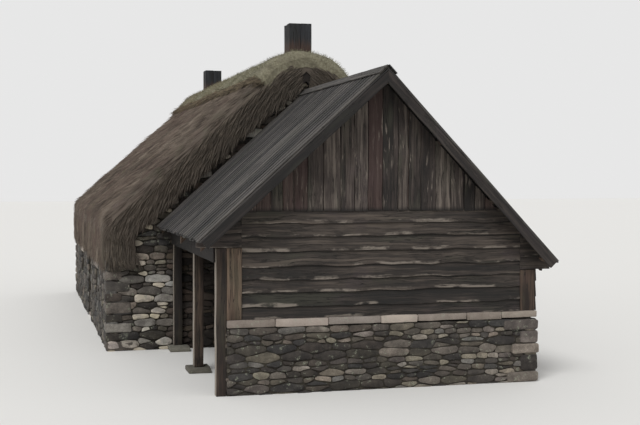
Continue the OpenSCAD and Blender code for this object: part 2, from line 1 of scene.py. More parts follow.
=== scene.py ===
# %% [markdown]
# # A stone house under thatch and turf
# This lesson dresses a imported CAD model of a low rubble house. The house has a thatched
# roof with turf on its ridge, and a timber bay under a board roof stands at its near gable.
# The CAD solids stay where they are. Stones, boards, stems and grass are laid on them.

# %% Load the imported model
import bisect
import math
import random

import bmesh
import bpy
from mathutils import Matrix, Vector, kdtree, noise


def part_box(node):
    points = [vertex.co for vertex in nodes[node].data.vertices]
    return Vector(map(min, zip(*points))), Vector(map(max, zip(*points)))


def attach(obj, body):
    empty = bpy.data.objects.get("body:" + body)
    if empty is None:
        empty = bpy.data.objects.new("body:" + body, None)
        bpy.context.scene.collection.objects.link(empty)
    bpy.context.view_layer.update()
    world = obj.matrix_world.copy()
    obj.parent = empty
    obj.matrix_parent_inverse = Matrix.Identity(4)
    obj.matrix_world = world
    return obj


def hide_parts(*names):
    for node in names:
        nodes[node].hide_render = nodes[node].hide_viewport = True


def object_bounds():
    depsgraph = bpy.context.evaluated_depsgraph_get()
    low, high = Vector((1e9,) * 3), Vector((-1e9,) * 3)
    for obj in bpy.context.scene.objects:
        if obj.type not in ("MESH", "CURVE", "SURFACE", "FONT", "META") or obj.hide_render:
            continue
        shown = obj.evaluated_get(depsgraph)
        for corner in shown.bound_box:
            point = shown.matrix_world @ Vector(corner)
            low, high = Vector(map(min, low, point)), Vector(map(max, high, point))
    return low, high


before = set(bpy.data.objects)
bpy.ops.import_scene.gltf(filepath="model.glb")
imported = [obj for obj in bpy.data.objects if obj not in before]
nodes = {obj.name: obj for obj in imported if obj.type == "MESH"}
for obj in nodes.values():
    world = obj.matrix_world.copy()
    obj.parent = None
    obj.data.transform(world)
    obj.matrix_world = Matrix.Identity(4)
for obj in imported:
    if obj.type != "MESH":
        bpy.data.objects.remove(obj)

cad_bounds = [list(corner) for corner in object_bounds()]
X, Y, Z = Vector((1, 0, 0)), Vector((0, 1, 0)), Vector((0, 0, 1))
# without a seed of their own, noise vectors would differ from run to run
noise.seed_set(5)
print("nodes:", len(nodes), "bounds:", cad_bounds)

# %% [markdown]
# ## Camera
# The eye stands to the left of the timber bay, a little above its eaves. A long lens keeps
# the perspective of that place and fills the picture with the building.

# %% Camera
EYE = Vector((-5.09, -23.35, 3.10))
LEVEL_VIEW = Vector((0.256, 0.9667, 0))
VIEW_DROP = 0.032
LENS = 64


def show(name, data):
    """A new object for a mesh, lamp or camera, linked into the scene."""
    made = bpy.data.objects.new(name, data)
    bpy.context.scene.collection.objects.link(made)
    return made


camera_data = bpy.data.cameras.new("camera")
camera_data.lens = LENS
camera = show("camera", camera_data)
camera.location = EYE
camera.rotation_euler = (LEVEL_VIEW - VIEW_DROP * Z).to_track_quat("-Z", "Y").to_euler()
bpy.context.scene.camera = camera
print("camera at", tuple(EYE), "with a lens of", LENS, "mm")

# %% [markdown]
# ## Shader maths as Python expressions
# Every finish here is worked out from noise, so it needs a lot of node maths. One small
# class wraps a socket and another adds nodes, and then a mask reads like a formula. The sky
# is made of nodes too, so it is written in the same way.


# %% Shader helpers
class Value:
    """A socket inside one finish, on which Python's own signs work."""

    def __init__(self, finish, socket):
        self.finish = finish
        self.socket = socket

    def apply(self, operation, *others):
        return self.finish.maths(operation, self, *others)

    def __add__(self, other):
        return self.apply("ADD", other)

    def __sub__(self, other):
        return self.apply("SUBTRACT", other)

    def __rsub__(self, other):
        return self.finish.maths("SUBTRACT", other, self)

    def __mul__(self, other):
        return self.apply("MULTIPLY", other)

    __radd__ = __add__
    __rmul__ = __mul__


class Finish:
    """The nodes of one owner, which is a new material or the sky."""

    def __init__(self, owner):
        self.owner = owner
        owner.use_nodes = True
        self.tree = owner.node_tree
        self.tree.nodes.clear()

    def add(self, kind, settings, inputs, output=0):
        """Adds a node with its settings, then the values or links of its sockets."""
        node = self.tree.nodes.new("ShaderNode" + kind)
        for key, value in settings.items():
            if key == "stops":
                self.set_stops(node.color_ramp, value)
            else:
                setattr(node, key, value)
        for key, value in inputs.items():
            if isinstance(value, Value):
                self.tree.links.new(value.socket, node.inputs[key])
            else:
                node.inputs[key].default_value = value
        return Value(self, node.outputs[output]) if node.outputs else None

    def maths(self, operation, *operands):
        return self.add("Math", {"operation": operation}, dict(enumerate(operands)))

    def set_stops(self, ramp, stops):
        while len(ramp.elements) < len(stops):
            ramp.elements.new(1)
        for element, (position, color) in zip(ramp.elements, stops):
            element.position = position
            element.color = color

    def place(self):
        return self.add("TexCoord", {}, {}, "Object")

    def part(self, vector, axis):
        """The X, Y or Z of a vector, as axis 0, 1 or 2."""
        return self.add("SeparateXYZ", {}, {0: vector}, axis)

    def facing(self, axis):
        """How far the surface faces along one axis of the house, from -1 to 1."""
        return self.part(self.add("TexCoord", {}, {}, "Normal"), axis)

    def attribute(self, name, output):
        return self.add("Attribute", {"attribute_name": name}, {}, output)

    def scaled(self, vector, scale):
        return self.add("Mapping", {}, {"Vector": vector, "Scale": scale})

    def noise(self, vector, scale=1, detail=4, roughness=0.6):
        return self.add("TexNoise", {}, {"Vector": vector, "Scale": scale, "Detail": detail,
                                         "Roughness": roughness})

    def between(self, value, low, high):
        """0 below low, 1 above high, and a smooth step from one to the other."""
        return self.add("MapRange", {"interpolation_type": "SMOOTHSTEP"},
                        {"Value": value, "From Min": low, "From Max": high})

    def ramp(self, value, *stops):
        return self.add("ValToRGB", {"stops": stops}, {"Fac": value})

    def blend(self, factor, low, high, mode="MIX"):
        return self.add("Mix", {"data_type": "RGBA", "blend_type": mode},
                        {0: factor, 6: low, 7: high}, 2)

    def finish(self, color, height, depth, roughness=0.9, **other):
        """Ends the finish with a rough surface, and a bump that is depth metres deep."""
        normal = self.add("Bump", {}, {"Height": height, "Distance": depth})
        shader = self.add("BsdfPrincipled", {}, {"Base Color": color, "Roughness": roughness,
                                                 "Normal": normal, **other})
        self.add("OutputMaterial", {}, {"Surface": shader})
        print("finish", self.owner.name, "nodes:", len(self.tree.nodes))
        return self.owner


def rgb(code):
    """A colour as screens write it, such as 8a7d6f, as the linear values that shaders use."""
    values = [int(code[i:i + 2], 16) / 255 for i in (0, 2, 4)]
    return (*[v / 12.92 if v <= 0.04045 else ((v + 0.055) / 1.055) ** 2.4 for v in values], 1)


# %% [markdown]
# ## Light and floor
# An even pale sky and one large soft sun light a colour about as it is written. The sky is
# pale to the camera and in reflections, and dimmer where it only lights the house.

# %% Light
BACKGROUND = (0.80, 0.80, 0.80, 1)
SKY_LIGHT = 0.74
SUN_LIGHT = 1.7
SUN_WIDTH = math.radians(25)
SUN_FROM = Vector((-0.50, -0.66, 1.0))

sky = Finish(bpy.data.worlds.new("pale_sky"))
bpy.context.scene.world = sky.owner
seen = sky.add("LightPath", {}, {}, "Is Camera Ray")
for ray in ("Is Glossy Ray", "Is Transmission Ray"):
    seen = seen.apply("MAXIMUM", sky.add("LightPath", {}, {}, ray))
light_sky = sky.add("Background", {}, {"Strength": SKY_LIGHT})
pale_sky = sky.add("Background", {}, {"Color": BACKGROUND})
either = sky.add("MixShader", {}, {0: seen, 1: light_sky, 2: pale_sky})
sky.add("OutputWorld", {}, {"Surface": either})

sun_data = bpy.data.lights.new("sun", "SUN")
sun_data.energy = SUN_LIGHT
sun_data.angle = SUN_WIDTH
sun = show("sun", sun_data)
sun.rotation_euler = SUN_FROM.to_track_quat("Z", "Y").to_euler()
bpy.context.scene.view_settings.view_transform = "Standard"
print("strength of sky and sun:", SKY_LIGHT, SUN_LIGHT)

# %% [markdown]
# The floor is one wide, plain plane. It isn't attached to the house, so it isn't part of it.

# %% Floor
FLOOR_SIZE = 120
floor_shape = bmesh.new()
bmesh.ops.create_grid(floor_shape, x_segments=1, y_segments=1, size=FLOOR_SIZE)
floor_mesh = bpy.data.meshes.new("floor")
floor_shape.to_mesh(floor_mesh)
floor_shape.free()
floor_finish = Finish(bpy.data.materials.new("pale_floor"))
floor_mesh.materials.append(floor_finish.finish(rgb("e4e3e0"), 0.5, 0.001))
show("floor", floor_mesh)

# %% [markdown]
# ## Stone
# The walls are field stones of many greys, laid in earth. Each stone carries a random tone.
# It picks a grey from one ramp and a tint from another, and lichen and grit lie over both.


# %% Stone finishes
def stone_finish(name, greys, lichen, tinted=0.55):
    finish = Finish(bpy.data.materials.new(name))
    place = finish.place()
    tone = finish.attribute("tone", "Fac")
    grit = finish.noise(place, 70, 6)
    clouds = finish.noise(place, 7, 5)
    shade = tone * 0.85 + (clouds - 0.5) * 0.8 + (grit - 0.5) * 0.5 + 0.05
    stops = [(i / (len(greys) - 1), rgb(code)) for i, code in enumerate(greys)]
    grey = finish.ramp(shade, *stops)
    tint = finish.ramp((tone * 7.3).apply("FRACT"),
                       (0, rgb("7d8792")), (0.3, rgb("8b8683")), (0.5, rgb("958379")),
                       (0.7, rgb("8d8a72")), (1, rgb("8a7f86")))
    color = finish.blend(tinted, grey, tint, "OVERLAY")
    spots = finish.between(finish.noise(place, 11, 3), 0.58, 0.66)
    color = finish.blend(spots * finish.between(grit, 0.4, 0.6) * 0.7, color, rgb(lichen))
    return finish.finish(color, clouds * 0.7 + grit * 0.5, 0.02, 0.92)


field_stone = stone_finish("field_stone", ["302d2b", "494541", "5f5a54", "7d776f", "a9a399",
                                           "cdc8be"], "8e9180")
# a dark ramp, as painted shade on the stones under the bay's roof
painted_shade_stone = stone_finish("painted_shade_stone", ["1a1613", "28221e", "372f2a", "463d36",
                                                   "5a5048"], "45413a")
cap_stone = stone_finish("cap_stone", ["7d736b", "91877f", "a39990", "b3a9a0", "c0b5ab"],
                         "8f9384", 0.25)
pad_stone = stone_finish("pad_stone", ["55534b", "6c6a61", "838177", "96948a"], "7d8170", 0.2)

# %% [markdown]
# The stones lie in a bed of earth and moss. The CAD walls are that bed, so it shows only as
# dark joints, and on the inner faces.

# %% Earth bed
bed = Finish(bpy.data.materials.new("earth_bed"))
bed_place = bed.place()
bed_clouds = bed.noise(bed_place, 6, 6)
bed_grit = bed.noise(bed_place, 45, 4)
bed_color = bed.ramp(bed_clouds * 0.6 + bed_grit * 0.4, (0.3, rgb("1f1c18")),
                     (0.5, rgb("37322b")), (0.68, rgb("4b4739")))
earth_bed = bed.finish(bed_color, bed_clouds + bed_grit, 0.03, 0.95)

# %% [markdown]
# ## Weathered wood
# Boards and timbers are never painted. The grain runs along each board, whichever way it
# lies, so each one carries its own coordinates, called grain, besides its tone.


# %% Wood finishes
def wood_finish(name, dark, middle, pale, green, purple, extra=None):
    finish = Finish(bpy.data.materials.new(name))
    grain = finish.attribute("grain", "Vector")
    tone = finish.attribute("tone", "Fac")
    fibres = finish.noise(finish.scaled(grain, (2.5, 110, 110)), 1, 5, 0.65)
    streaks = finish.noise(finish.scaled(grain, (0.8, 17, 17)), 1, 5, 0.6)
    patches = finish.noise(finish.scaled(grain, (0.6, 2.6, 2.6)), 1, 3)
    stains = finish.noise(finish.place(), 1.7, 4)
    shade = (tone * 0.65 + (fibres - 0.5) * 1.1 + (streaks - 0.5) * 1.7
             + (stains - 0.5) * 0.7 + 0.17)
    color = finish.ramp(shade, (0.12, rgb(dark)), (0.48, rgb(middle)), (0.92, rgb(pale)))
    color = finish.blend(finish.between(patches, 0.52, 0.66) * 0.55, color, rgb(green))
    color = finish.blend(finish.between(stains, 0.54, 0.68) * 0.45, color, rgb(purple))
    knots = finish.add("TexVoronoi", {}, {"Vector": finish.scaled(grain, (1.6, 6.5, 6.5)),
                                          "Scale": 1})
    knot = (1 - finish.between(knots, 0.05, 0.13)) * finish.between(streaks, 0.45, 0.55)
    ridge = (streaks - 0.5).apply("ABSOLUTE")
    crack = (1 - finish.between(ridge, 0.0, 0.018)) * finish.between(patches, 0.42, 0.55)
    color = finish.blend(knot * 0.8, color, rgb("1d1713"))
    color = finish.blend(crack * 0.85, color, rgb("171310"))
    if extra:
        color = extra(finish, color, grain, streaks)
    height = fibres * 0.5 + streaks * 0.7 - crack * 0.8 + knot * 0.3
    return finish.finish(color, height, 0.008, 0.88)


# %% [markdown]
# Four functions add marks of weather and smoke, and some also add painted light and painted
# shade. Each changes the colour of the plain wood, and wood_finish calls it as its last step.


# %% Signs of weather, painted light and painted shade
def flecked(finish, color, grain, streaks):
    """Some boards are reddish, the grey surface is worn bare in short flecks, and painted shadow
    darkens the wood up to just above the foot of the standing boards.
    """
    board = (finish.attribute("tone", "Fac") * 5.3).apply("FRACT")
    color = finish.blend(finish.between(board, 0.66, 0.72) * 0.5, color, rgb("44302c"))
    flecks = finish.noise(finish.scaled(grain, (3.5, 24, 24)), 1, 3)
    places = finish.noise(finish.scaled(grain, (1.1, 2, 2)), 1, 2)
    pale_marks = finish.between(flecks, 0.57, 0.66) * finish.between(places, 0.46, 0.60)
    color = finish.blend(pale_marks * 0.65, color, rgb("857b71"))
    # painted shadow: the wood below a line just above the standing boards' foot turns nearly black
    height = finish.part(finish.place(), 2)
    foot = 1 - finish.between(height, BOARD_FOOT - 0.045, BOARD_FOOT + 0.03)
    return finish.blend(foot * 0.85, color, rgb("100d0b"))


def lapped(finish, color, grain, streaks):
    """The lower edge of a lying board is pale, bare wood and painted highlight, and dirt and
    painted shadow darken the board under the lap.
    """
    across = finish.part(grain, 1)
    patches = finish.noise(finish.scaled(grain, (2.2, 4, 4)), 1, 4)
    ragged = across + (streaks - 0.5) * 0.18 + (patches - 0.5) * 0.12
    # the pale lower edge: bare wood and painted highlight
    pale_marks = (1 - finish.between(ragged, -0.088, -0.066)) * finish.between(patches, 0.48, 0.60)
    color = finish.blend(pale_marks * 0.75, color, rgb("857c72"))
    # dirt and painted shadow under the lap of the board above
    return finish.blend(finish.between(across, 0.045, 0.078) * 0.75, color, rgb("1d1916"))


def lit_and_shaded_sides(finish, color, grain, streaks):
    """The side that faces the yard is pale grey, as painted light, and the other sides keep the
    dark wood, as painted shade.
    """
    yard = finish.between(finish.facing(0), -0.75, -0.35)
    return finish.blend(yard, rgb("90877c"), color)


def tarred(finish, color, grain, streaks):
    """Tar and soot cover the top, and brown wood shows just above the roof."""
    height = finish.part(finish.place(), 2) + (streaks - 0.5) * 0.5
    top = finish.between(height, TAR_FOOT, TAR_FOOT + 0.22)
    return finish.blend(top, finish.blend(0.65, color, rgb("4f3a2f")), color)


# %% [markdown]
# All the woods of the house are mixed by one function, each from five colours: dark, middle
# and pale wood, and a green and a purple stain.

# %% Woods
TAR_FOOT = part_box("ridge_turf")[1].z + 0.04
BOARD_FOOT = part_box("gable_upper_boards")[0].z
gable_wood = wood_finish("gable_wood", "1b1715", "39312d", "6c635b", "46453a", "3d3235",
                         flecked)
slab_wood = wood_finish("slab_wood", "181614", "302a26", "564d45", "3c3b31", "342c2e",
                        lapped)
timber_wood = wood_finish("timber_wood", "241b16", "4c3d32", "7a6757", "504a3b", "45342e")
# the dark colours of the posts are painted shade on their sides away from the yard
post_wood = wood_finish("post_wood", "1a1411", "332821", "5a4b3f", "3b372b", "33282a",
                        lit_and_shaded_sides)
roof_wood = wood_finish("roof_wood", "161515", "2d2a29", "534f4b", "34352d", "2c282d")
# the verge wood is almost black, as painted shade under the edge of the board roof
shaded_verge_wood = wood_finish("shaded_verge_wood", "141211", "26211f", "453e39", "2e2d26", "2a2427")
soot_wood = wood_finish("soot_wood", "0e0e10", "191a1d", "2e3034", "20201e", "201d22",
                        tarred)

# %% [markdown]
# ## Thatch, turf and grass
# The thatch is old, so grey and brown stems mix with moss. Its streaks run down the slope,
# across the ridge line, so the pattern is squeezed along Y. The same finish serves the
# thatch body and the reeds laid on it, and each reed has a tone of its own.


# %% Stem and grass finishes
def stem_finish(name, colors, moss, moss_share, squeeze, verge=0.0):
    """A finish of stems. At the ends of the roof, verge is how far they turn darker olive brown,
    partly damp and partly painted shade.
    """
    finish = Finish(bpy.data.materials.new(name))
    place = finish.place()
    tone = finish.attribute("tone", "Fac")
    stems = finish.noise(finish.scaled(place, squeeze), 1, 6, 0.7)
    clumps = finish.noise(place, 3.2, 5)
    clouds = finish.noise(place, 0.55, 4)
    shade = (tone - 0.5) * 0.5 + (stems - 0.5) * 0.9 + (clumps - 0.5) * 0.5 + 0.5
    low, middle, high = [rgb(code) for code in colors[:3]]
    color = finish.ramp(shade, (0.15, low), (0.5, middle), (0.85, high))
    color = finish.blend(finish.between(clouds, 0.45, 0.62) * 0.5, color, rgb(colors[3]))
    mossy = finish.between(clumps * 0.6 + clouds * 0.4, 0.62 - moss_share, 0.74 - moss_share)
    color = finish.blend(mossy * 0.6, color, rgb(moss))
    damp = finish.between(finish.noise(place, 0.9, 3), 0.55, 0.70)
    # dark spots as painted shade in holes of the thatch
    shaded_pits = finish.between(finish.noise(place, 2.3, 4), 0.56, 0.66)
    color = finish.blend(damp * 0.3 + shaded_pits * 0.35, color, low)
    along = finish.part(place, 1) - ROOF_MIDDLE
    end = finish.between(along.apply("ABSOLUTE") + (clumps - 0.5) * 1.2, ROOF_HALF - 0.9,
                         ROOF_HALF)
    # the ends of the roof turn darker: damp, and painted shade at the verges
    color = finish.blend(end * verge, color, rgb("514b42"))
    return finish.finish(color, stems * 0.7 + clumps, 0.02, 0.95)


ROOF_MIDDLE = (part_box("left_thatch")[0].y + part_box("left_thatch")[1].y) / 2
ROOF_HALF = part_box("left_thatch")[1].y - ROOF_MIDDLE
thatch_stems = stem_finish("thatch_stems", ["312a25", "61564c", "8a7f72", "614f49"], "66654f",
                           0.08, (4, 90, 4), 0.5)
thatch_fringe = stem_finish("thatch_fringe", ["29231e", "574c42", "827667", "584b43"],
                            "4c4a39", 0.0, (20, 60, 20), 0.5)
root_fringe = stem_finish("root_fringe", ["29241c", "554a3c", "877b64", "5c4d3d"], "656349",
                          0.02, (30, 30, 30))
turf_sods = stem_finish("turf_sods", ["3a352b", "736e5b", "9c9983", "6d6351"], "656b4d",
                        0.04, (30, 30, 30))
# very dark, as earth and as painted shade where the turf layer shows under the thatch
turf_earth_shaded = stem_finish("turf_earth_shaded", ["15110e", "2c241d", "463a2d", "33281f"], "3a392a",
                         0.02, (20, 20, 20))
dry_grass = stem_finish("dry_grass", ["4b4837", "86846b", "b6b399", "8b7d5f"], "68704e",
                        0.05, (60, 60, 60))

# %% [markdown]
# ## Window glass
# The small panes are dark and a little dull, with the room behind them.

# %% Window glass
glass = Finish(bpy.data.materials.new("window_glass"))
glass_film = glass.noise(glass.place(), 6, 4)
window_glass = glass.finish(rgb("39434a"), glass_film, 0.0005, glass_film * 0.25 + 0.05,
                            **{"Transmission Weight": 0.6, "IOR": 1.45})

# %% [markdown]
# ## Heaps: many small shapes in one mesh
# A wall has hundreds of stones and the thatch has thousands of reeds. Each one is shaped
# alone, in a tiny mesh where the operators are fast, and a heap then joins them all.


# %% Heaps
SHARP = math.radians(38)


class Heap:
    """Many small shapes that end as one object, kept inside the CAD model's box."""

    def __init__(self):
        self.points, self.faces, self.tones, self.grains = [], [], [], []

    def add(self, points, faces, tone, grains=None):
        start = len(self.points)
        self.points.extend(points)
        self.faces.extend([start + i for i in face] for face in faces)
        self.tones.extend([tone] * len(points))
        self.grains.extend(grains or [Vector()] * len(points))

    def take(self, shape, tone):
        """Adds a bmesh, with its grain if it has one, and frees it."""
        shape.verts.index_update()
        layer = shape.verts.layers.float_vector.get("grain")
        self.add([v.co.copy() for v in shape.verts],
                 [[v.index for v in face.verts] for face in shape.faces], tone,
                 [v[layer].copy() for v in shape.verts] if layer else None)
        shape.free()

    def make(self, name, material, slot, stands_for=()):
        """Joins the shapes to one piece, which may stand for CAD nodes. The argument slot is not
        used.
        """
        mesh = bpy.data.meshes.new(name)
        points = [[min(max(value, low), high) for value, low, high in zip(point, *cad_bounds)]
                  for point in self.points]
        mesh.from_pydata(points, [], self.faces)
        mesh.attributes.new("tone", "FLOAT", "POINT").data.foreach_set("value", self.tones)
        grains = [number for grain in self.grains for number in grain]
        mesh.attributes.new("grain", "FLOAT_VECTOR", "POINT").data.foreach_set("vector", grains)
        mesh.materials.append(material)
        mesh.shade_smooth()
        mesh.set_sharp_from_angle(angle=SHARP)
        piece = show(name, mesh)
        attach(piece, "root")
        if stands_for:
            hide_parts(*stands_for)
        mesh.calc_loop_triangles()
        print(name, "triangles:", len(mesh.loop_triangles))


# %% [markdown]
# Four small helpers shape the pieces: a matrix from two directions, an extrusion to given
# points, a cut that only adds edges, and a shake that makes a surface uneven.


# %% Shaping helpers
def axes(origin, along, up):
    """A matrix with its X along one direction and its Y up another."""
    matrix = Matrix((along, up, along.cross(up))).transposed().to_4x4()
    matrix.translation = origin
    return matrix


def extrude(shape, face, points, keep=False):
    """Extrudes a face to new points. The old face goes, unless it is to end the solid."""
    made = bmesh.ops.extrude_face_region(shape, geom=[face], use_keep_orig=True)
    if not keep:
        bmesh.ops.delete(shape, geom=[face], context="FACES_ONLY")
    face = [item for item in made["geom"] if isinstance(item, bmesh.types.BMFace)][0]
    for v, point in zip(face.verts, points):
        v.co = point
    return face


def split(shape, place, out):
    """Adds a line of edges where a plane meets a shape."""
    bmesh.ops.bisect_plane(shape, geom=shape.verts[:] + shape.edges[:] + shape.faces[:],
                           plane_co=place, plane_no=out)


def rough(shape, amount, scale, seed):
    """Moves every point a little, the same way where points meet."""
    shift = Vector((seed * 7.1, seed * 3.7, seed * 1.9))
    for v in shape.verts:
        v.co += noise.noise_vector(v.co * scale + shift) * amount


# %% [markdown]
# ## Rubble walls
# Random rubble is laid in rough rows, long side down. So seeds of many sizes are dropped in
# uneven rows first, one for each stone. In a tall row, some places take two low stones, one
# on the other.

# %% Seeds
ROW_HEIGHT = (0.085, 0.215)
STONE_LENGTH = (1.1, 2.9)
TALL_ROW = 0.13


def seed_rows(rng, width, height):
    """Seeds in uneven rows, as (u, v, size). Lengths are in row heights."""
    seeds, v = [], -0.1
    while v < height + 0.1:
        row = rng.uniform(*ROW_HEIGHT)
        u = -0.3 + rng.uniform(0, 0.2)
        while u < width + 0.2:
            step = row * rng.uniform(*STONE_LENGTH)
            lift = row * rng.gauss(0, 0.09)
            if row > TALL_ROW and rng.random() < 0.25:
                share = rng.uniform(0.3, 0.7)
                shift = step * rng.uniform(-0.15, 0.15)
                seeds.append((u + step / 2 + shift, v + row * share / 2,
                              math.sqrt(step * row * share)))
                seeds.append((u + step / 2 - shift, v + row * (1 + share) / 2,
                              math.sqrt(step * row * (1 - share))))
            else:
                seeds.append((u + step / 2, v + row / 2 + lift, math.sqrt(step * row)))
            u += step
        v += row
    return seeds


# %% [markdown]
# A small plate round each seed is cut by a plane towards each neighbour, nearer to the
# smaller of the two, which leaves a stone's outline. Distances are stretched upwards, so that
# the stones come out wider than they are tall.

# %% Outlines
STRETCH = 1.7
STONE_BACK = -0.03
PLATE_SIZE = 0.4


def stone_outline(seed, neighbours, cuts, joint, stretch):
    """A flat plate cut towards its neighbours, and along the wall's own edges."""
    shape = bmesh.new()
    bmesh.ops.create_grid(shape, x_segments=1, y_segments=1, size=PLATE_SIZE,
                          matrix=Matrix.Translation((seed[0], seed[1], STONE_BACK)))
    for other in neighbours:
        away = Vector((other[0] - seed[0], other[1] - seed[1], 0))
        share = seed[2] / (seed[2] + other[2])
        plane = Vector((away.x, away.y * stretch * stretch, 0)).normalized()
        cut(shape, Vector((seed[0], seed[1], 0)) + away * share - plane * joint, plane)
    for point, plane in cuts:
        cut(shape, point, plane)
    return shape


def cut(shape, point, plane):
    """Cuts away what lies on the side that the plane's normal points to."""
    if shape.faces:
        bmesh.ops.bisect_plane(shape, geom=shape.verts[:] + shape.edges[:] + shape.faces[:],
                               plane_co=point, plane_no=plane, clear_outer=True)


# %% [markdown]
# The outline's corners are smoothed off. One extrusion raises the sides, a second one is
# drawn in to round them, and a poked face makes the top.

# %% Rounded stones
LONG_EDGE = 0.045
STONE_RINGS = ((0.6, 1.0), (1.0, 0.80))


def swell(shape, height, rng):
    """Raises a flat outline to a rounded stone, with its back closed."""
    long_edges = [edge for edge in shape.edges if edge.calc_length() > LONG_EDGE]
    bmesh.ops.subdivide_edges(shape, edges=long_edges, cuts=2)
    bmesh.ops.dissolve_faces(shape, faces=shape.faces[:])
    bmesh.ops.smooth_vert(shape, verts=shape.verts, factor=0.5, use_axis_x=True,
                          use_axis_y=True)
    face = shape.faces[:][0]
    middle = face.calc_center_median()
    lean = Vector((rng.uniform(-0.12, 0.12), rng.uniform(-0.12, 0.12), 0))
    outline = [v.co - middle for v in face.verts]
    for share, size in STONE_RINGS:
        ring = []
        for start in outline:
            offset = start * size
            rise = share * height * (1 + lean.dot(offset) / 0.1)
            ring.append(Vector((middle.x + offset.x, middle.y + offset.y, rise)))
        face = extrude(shape, face, ring, share == STONE_RINGS[0][0])
    bmesh.ops.poke(shape, faces=[face])
    bmesh.ops.recalc_face_normals(shape, faces=shape.faces[:])


# %% [markdown]
# A wall is laid in its own axes, with its foot along X and its face towards Z. Each seed
# looks for the seeds nearest to it, because only those can cut its stone.

# %% Laying
NEIGHBOURS = 14
PAST_BORDER = 0.12
SMALLEST_FACE = 0.0022
JOINT = (0.003, 0.009)
WELL_INSIDE = -0.02


def lay_stones(heap, rng, wall, width, height, edges=(), holes=(), stand=(0.018, 0.05),
               pale=1.0, heap_at=None, flat=1.0):
    """Covers one face of a wall, width by height in its own axes, with stones.

    They stand out of it by a height between the two of stand. Tones grow with pale, which
    paints light and shade from wall to wall. Where heap_at is given, it names the heap for
    each place. The stones are lower by the factor flat.
    """
    seeds = [(u, v / flat, size) for u, v, size in seed_rows(rng, width, height * flat)]
    stretch = STRETCH * flat
    tree = kdtree.KDTree(len(seeds))
    for i, (u, v, _) in enumerate(seeds):
        tree.insert((u, v * stretch, 0), i)
    tree.balance()
    border = [(Vector((0, 0, 0)), -X), (Vector((width, 0, 0)), X),
              (Vector((0, 0, 0)), -Y), (Vector((0, height, 0)), Y), *edges]
    for seed in seeds:
        point = Vector((seed[0], seed[1], 0))
        if any((point - place).dot(plane) > PAST_BORDER for place, plane in border):
            continue
        found = tree.find_n((seed[0], seed[1] * stretch, 0), NEIGHBOURS + 1)
        near = [seeds[i] for _, i, _ in found[1:]]
        shape = stone_outline(seed, near, border + hole_cuts(point, holes),
                              rng.uniform(*JOINT), stretch)
        if not shape.faces or shape.faces[:][0].calc_area() < SMALLEST_FACE:
            shape.free()
            continue
        tone = rng.random() ** 1.3 * pale * (1.25 - seed[2] * 1.5)
        swell(shape, rng.uniform(*stand) * (0.75 + seed[2] * 1.2), rng)
        rough(shape, 0.013, 11, tone)
        shape.transform(wall)
        (heap_at(wall @ point) if heap_at else heap).take(shape, tone)


def hole_cuts(point, holes):
    """For each hole, the edge that keeps a stone beside it.

    A stone whose seed lies well inside a hole is cut from both sides, which removes it.
    """
    cuts = []
    for left, right, low, high in holes:
        sides = [(left - point.x, Vector((left, 0, 0)), X),
                 (point.x - right, Vector((right, 0, 0)), -X),
                 (low - point.y, Vector((0, low, 0)), Y),
                 (point.y - high, Vector((0, high, 0)), -Y)]
        gap, place, plane = max(sides, key=lambda side: side[0])
        cuts.append((place, plane))
        if gap < WELL_INSIDE:
            cuts.append((place, -plane))
    return cuts


# %% [markdown]
# The walls are laid face by face. Stones run a little past the corners, so that the two
# faces of a corner grow into each other, and stop at the doorway and the windows. Under the
# roof of the timber bay the gable's stones are dark with painted shade, so they form their own
# piece.

# %% Lines of the walls
house_low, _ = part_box("near_gable_wall")
_, house_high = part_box("far_gable_wall")
WALL_X = house_high.x
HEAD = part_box("right_wall")[1].z
PEAK = house_high.z
CORNER = 0.03
SIDE_STAND = (0.016, 0.036)
pitch = math.radians(41.5)
rake = Vector((math.sin(pitch), math.cos(pitch), 0))


def gable_edges(middle):
    """The two sloping edges of a gable face, in the face's own axes."""
    peak = Vector((middle, PEAK, 0))
    return [(peak, rake), (peak, Vector((-rake.x, rake.y, 0)))]


BAY_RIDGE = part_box("left_board_roof")[1].z
LEFT, RIGHT = -1, 1
# the fall of each side of the board roof, in metres for each metre outwards
FALLS = {LEFT: 0.89927, RIGHT: 1.05510}
bay_sides = {LEFT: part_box("left_plate")[0].x, RIGHT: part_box("right_plate")[1].x}


def sheltered(point):
    """Whether a place lies between the bay's two sides and under its roof."""
    fall = FALLS[LEFT if point.x < 0 else RIGHT] * abs(point.x)
    return bay_sides[LEFT] < point.x < bay_sides[RIGHT] and point.z < BAY_RIDGE - fall


# %% [markdown]
# The gables come first. The near one is laid in one go, and each stone goes to the open
# heap or to the one under the bay's roof, whose stones carry painted shade.

# %% Rubble on the gables
house_width = 2 * (WALL_X + CORNER)
house_length = house_high.y - house_low.y + 2 * CORNER
rng = random.Random(11)
gable, bay_back = Heap(), Heap()
# the near gable's stones are paler, as painted light against the shade of the roofs over it
lay_stones(gable, rng, axes(Vector((-WALL_X - CORNER, house_low.y, 0)), X, Z),
           house_width, PEAK, gable_edges(house_width / 2), pale=1.5, flat=1.3,
           heap_at=lambda point: bay_back if sheltered(point) else gable)
# the stones under the bay's roof take the dark finish, as painted shade
gable.make("near_gable_stones", field_stone, "rubble_stone")
bay_back.make("shaded_gable_stones", painted_shade_stone, "rubble_stone")
gable = Heap()
lay_stones(gable, rng, axes(Vector((WALL_X + CORNER, house_high.y, 0)), -X, Z),
           house_width, PEAK, gable_edges(house_width / 2))
gable.make("far_gable_stones", field_stone, "rubble_stone")


# %% [markdown]
# The left wall has the doorway and two windows, with a lintel over each. The stones keep
# clear of both. The right wall is closed.


# %% Rubble on the long walls
def wall_hole(low_y, high_y, low, high):
    """An opening in the left wall, in that wall's own axes."""
    start = house_high.y + CORNER
    return (start - high_y, start - low_y, low, high)


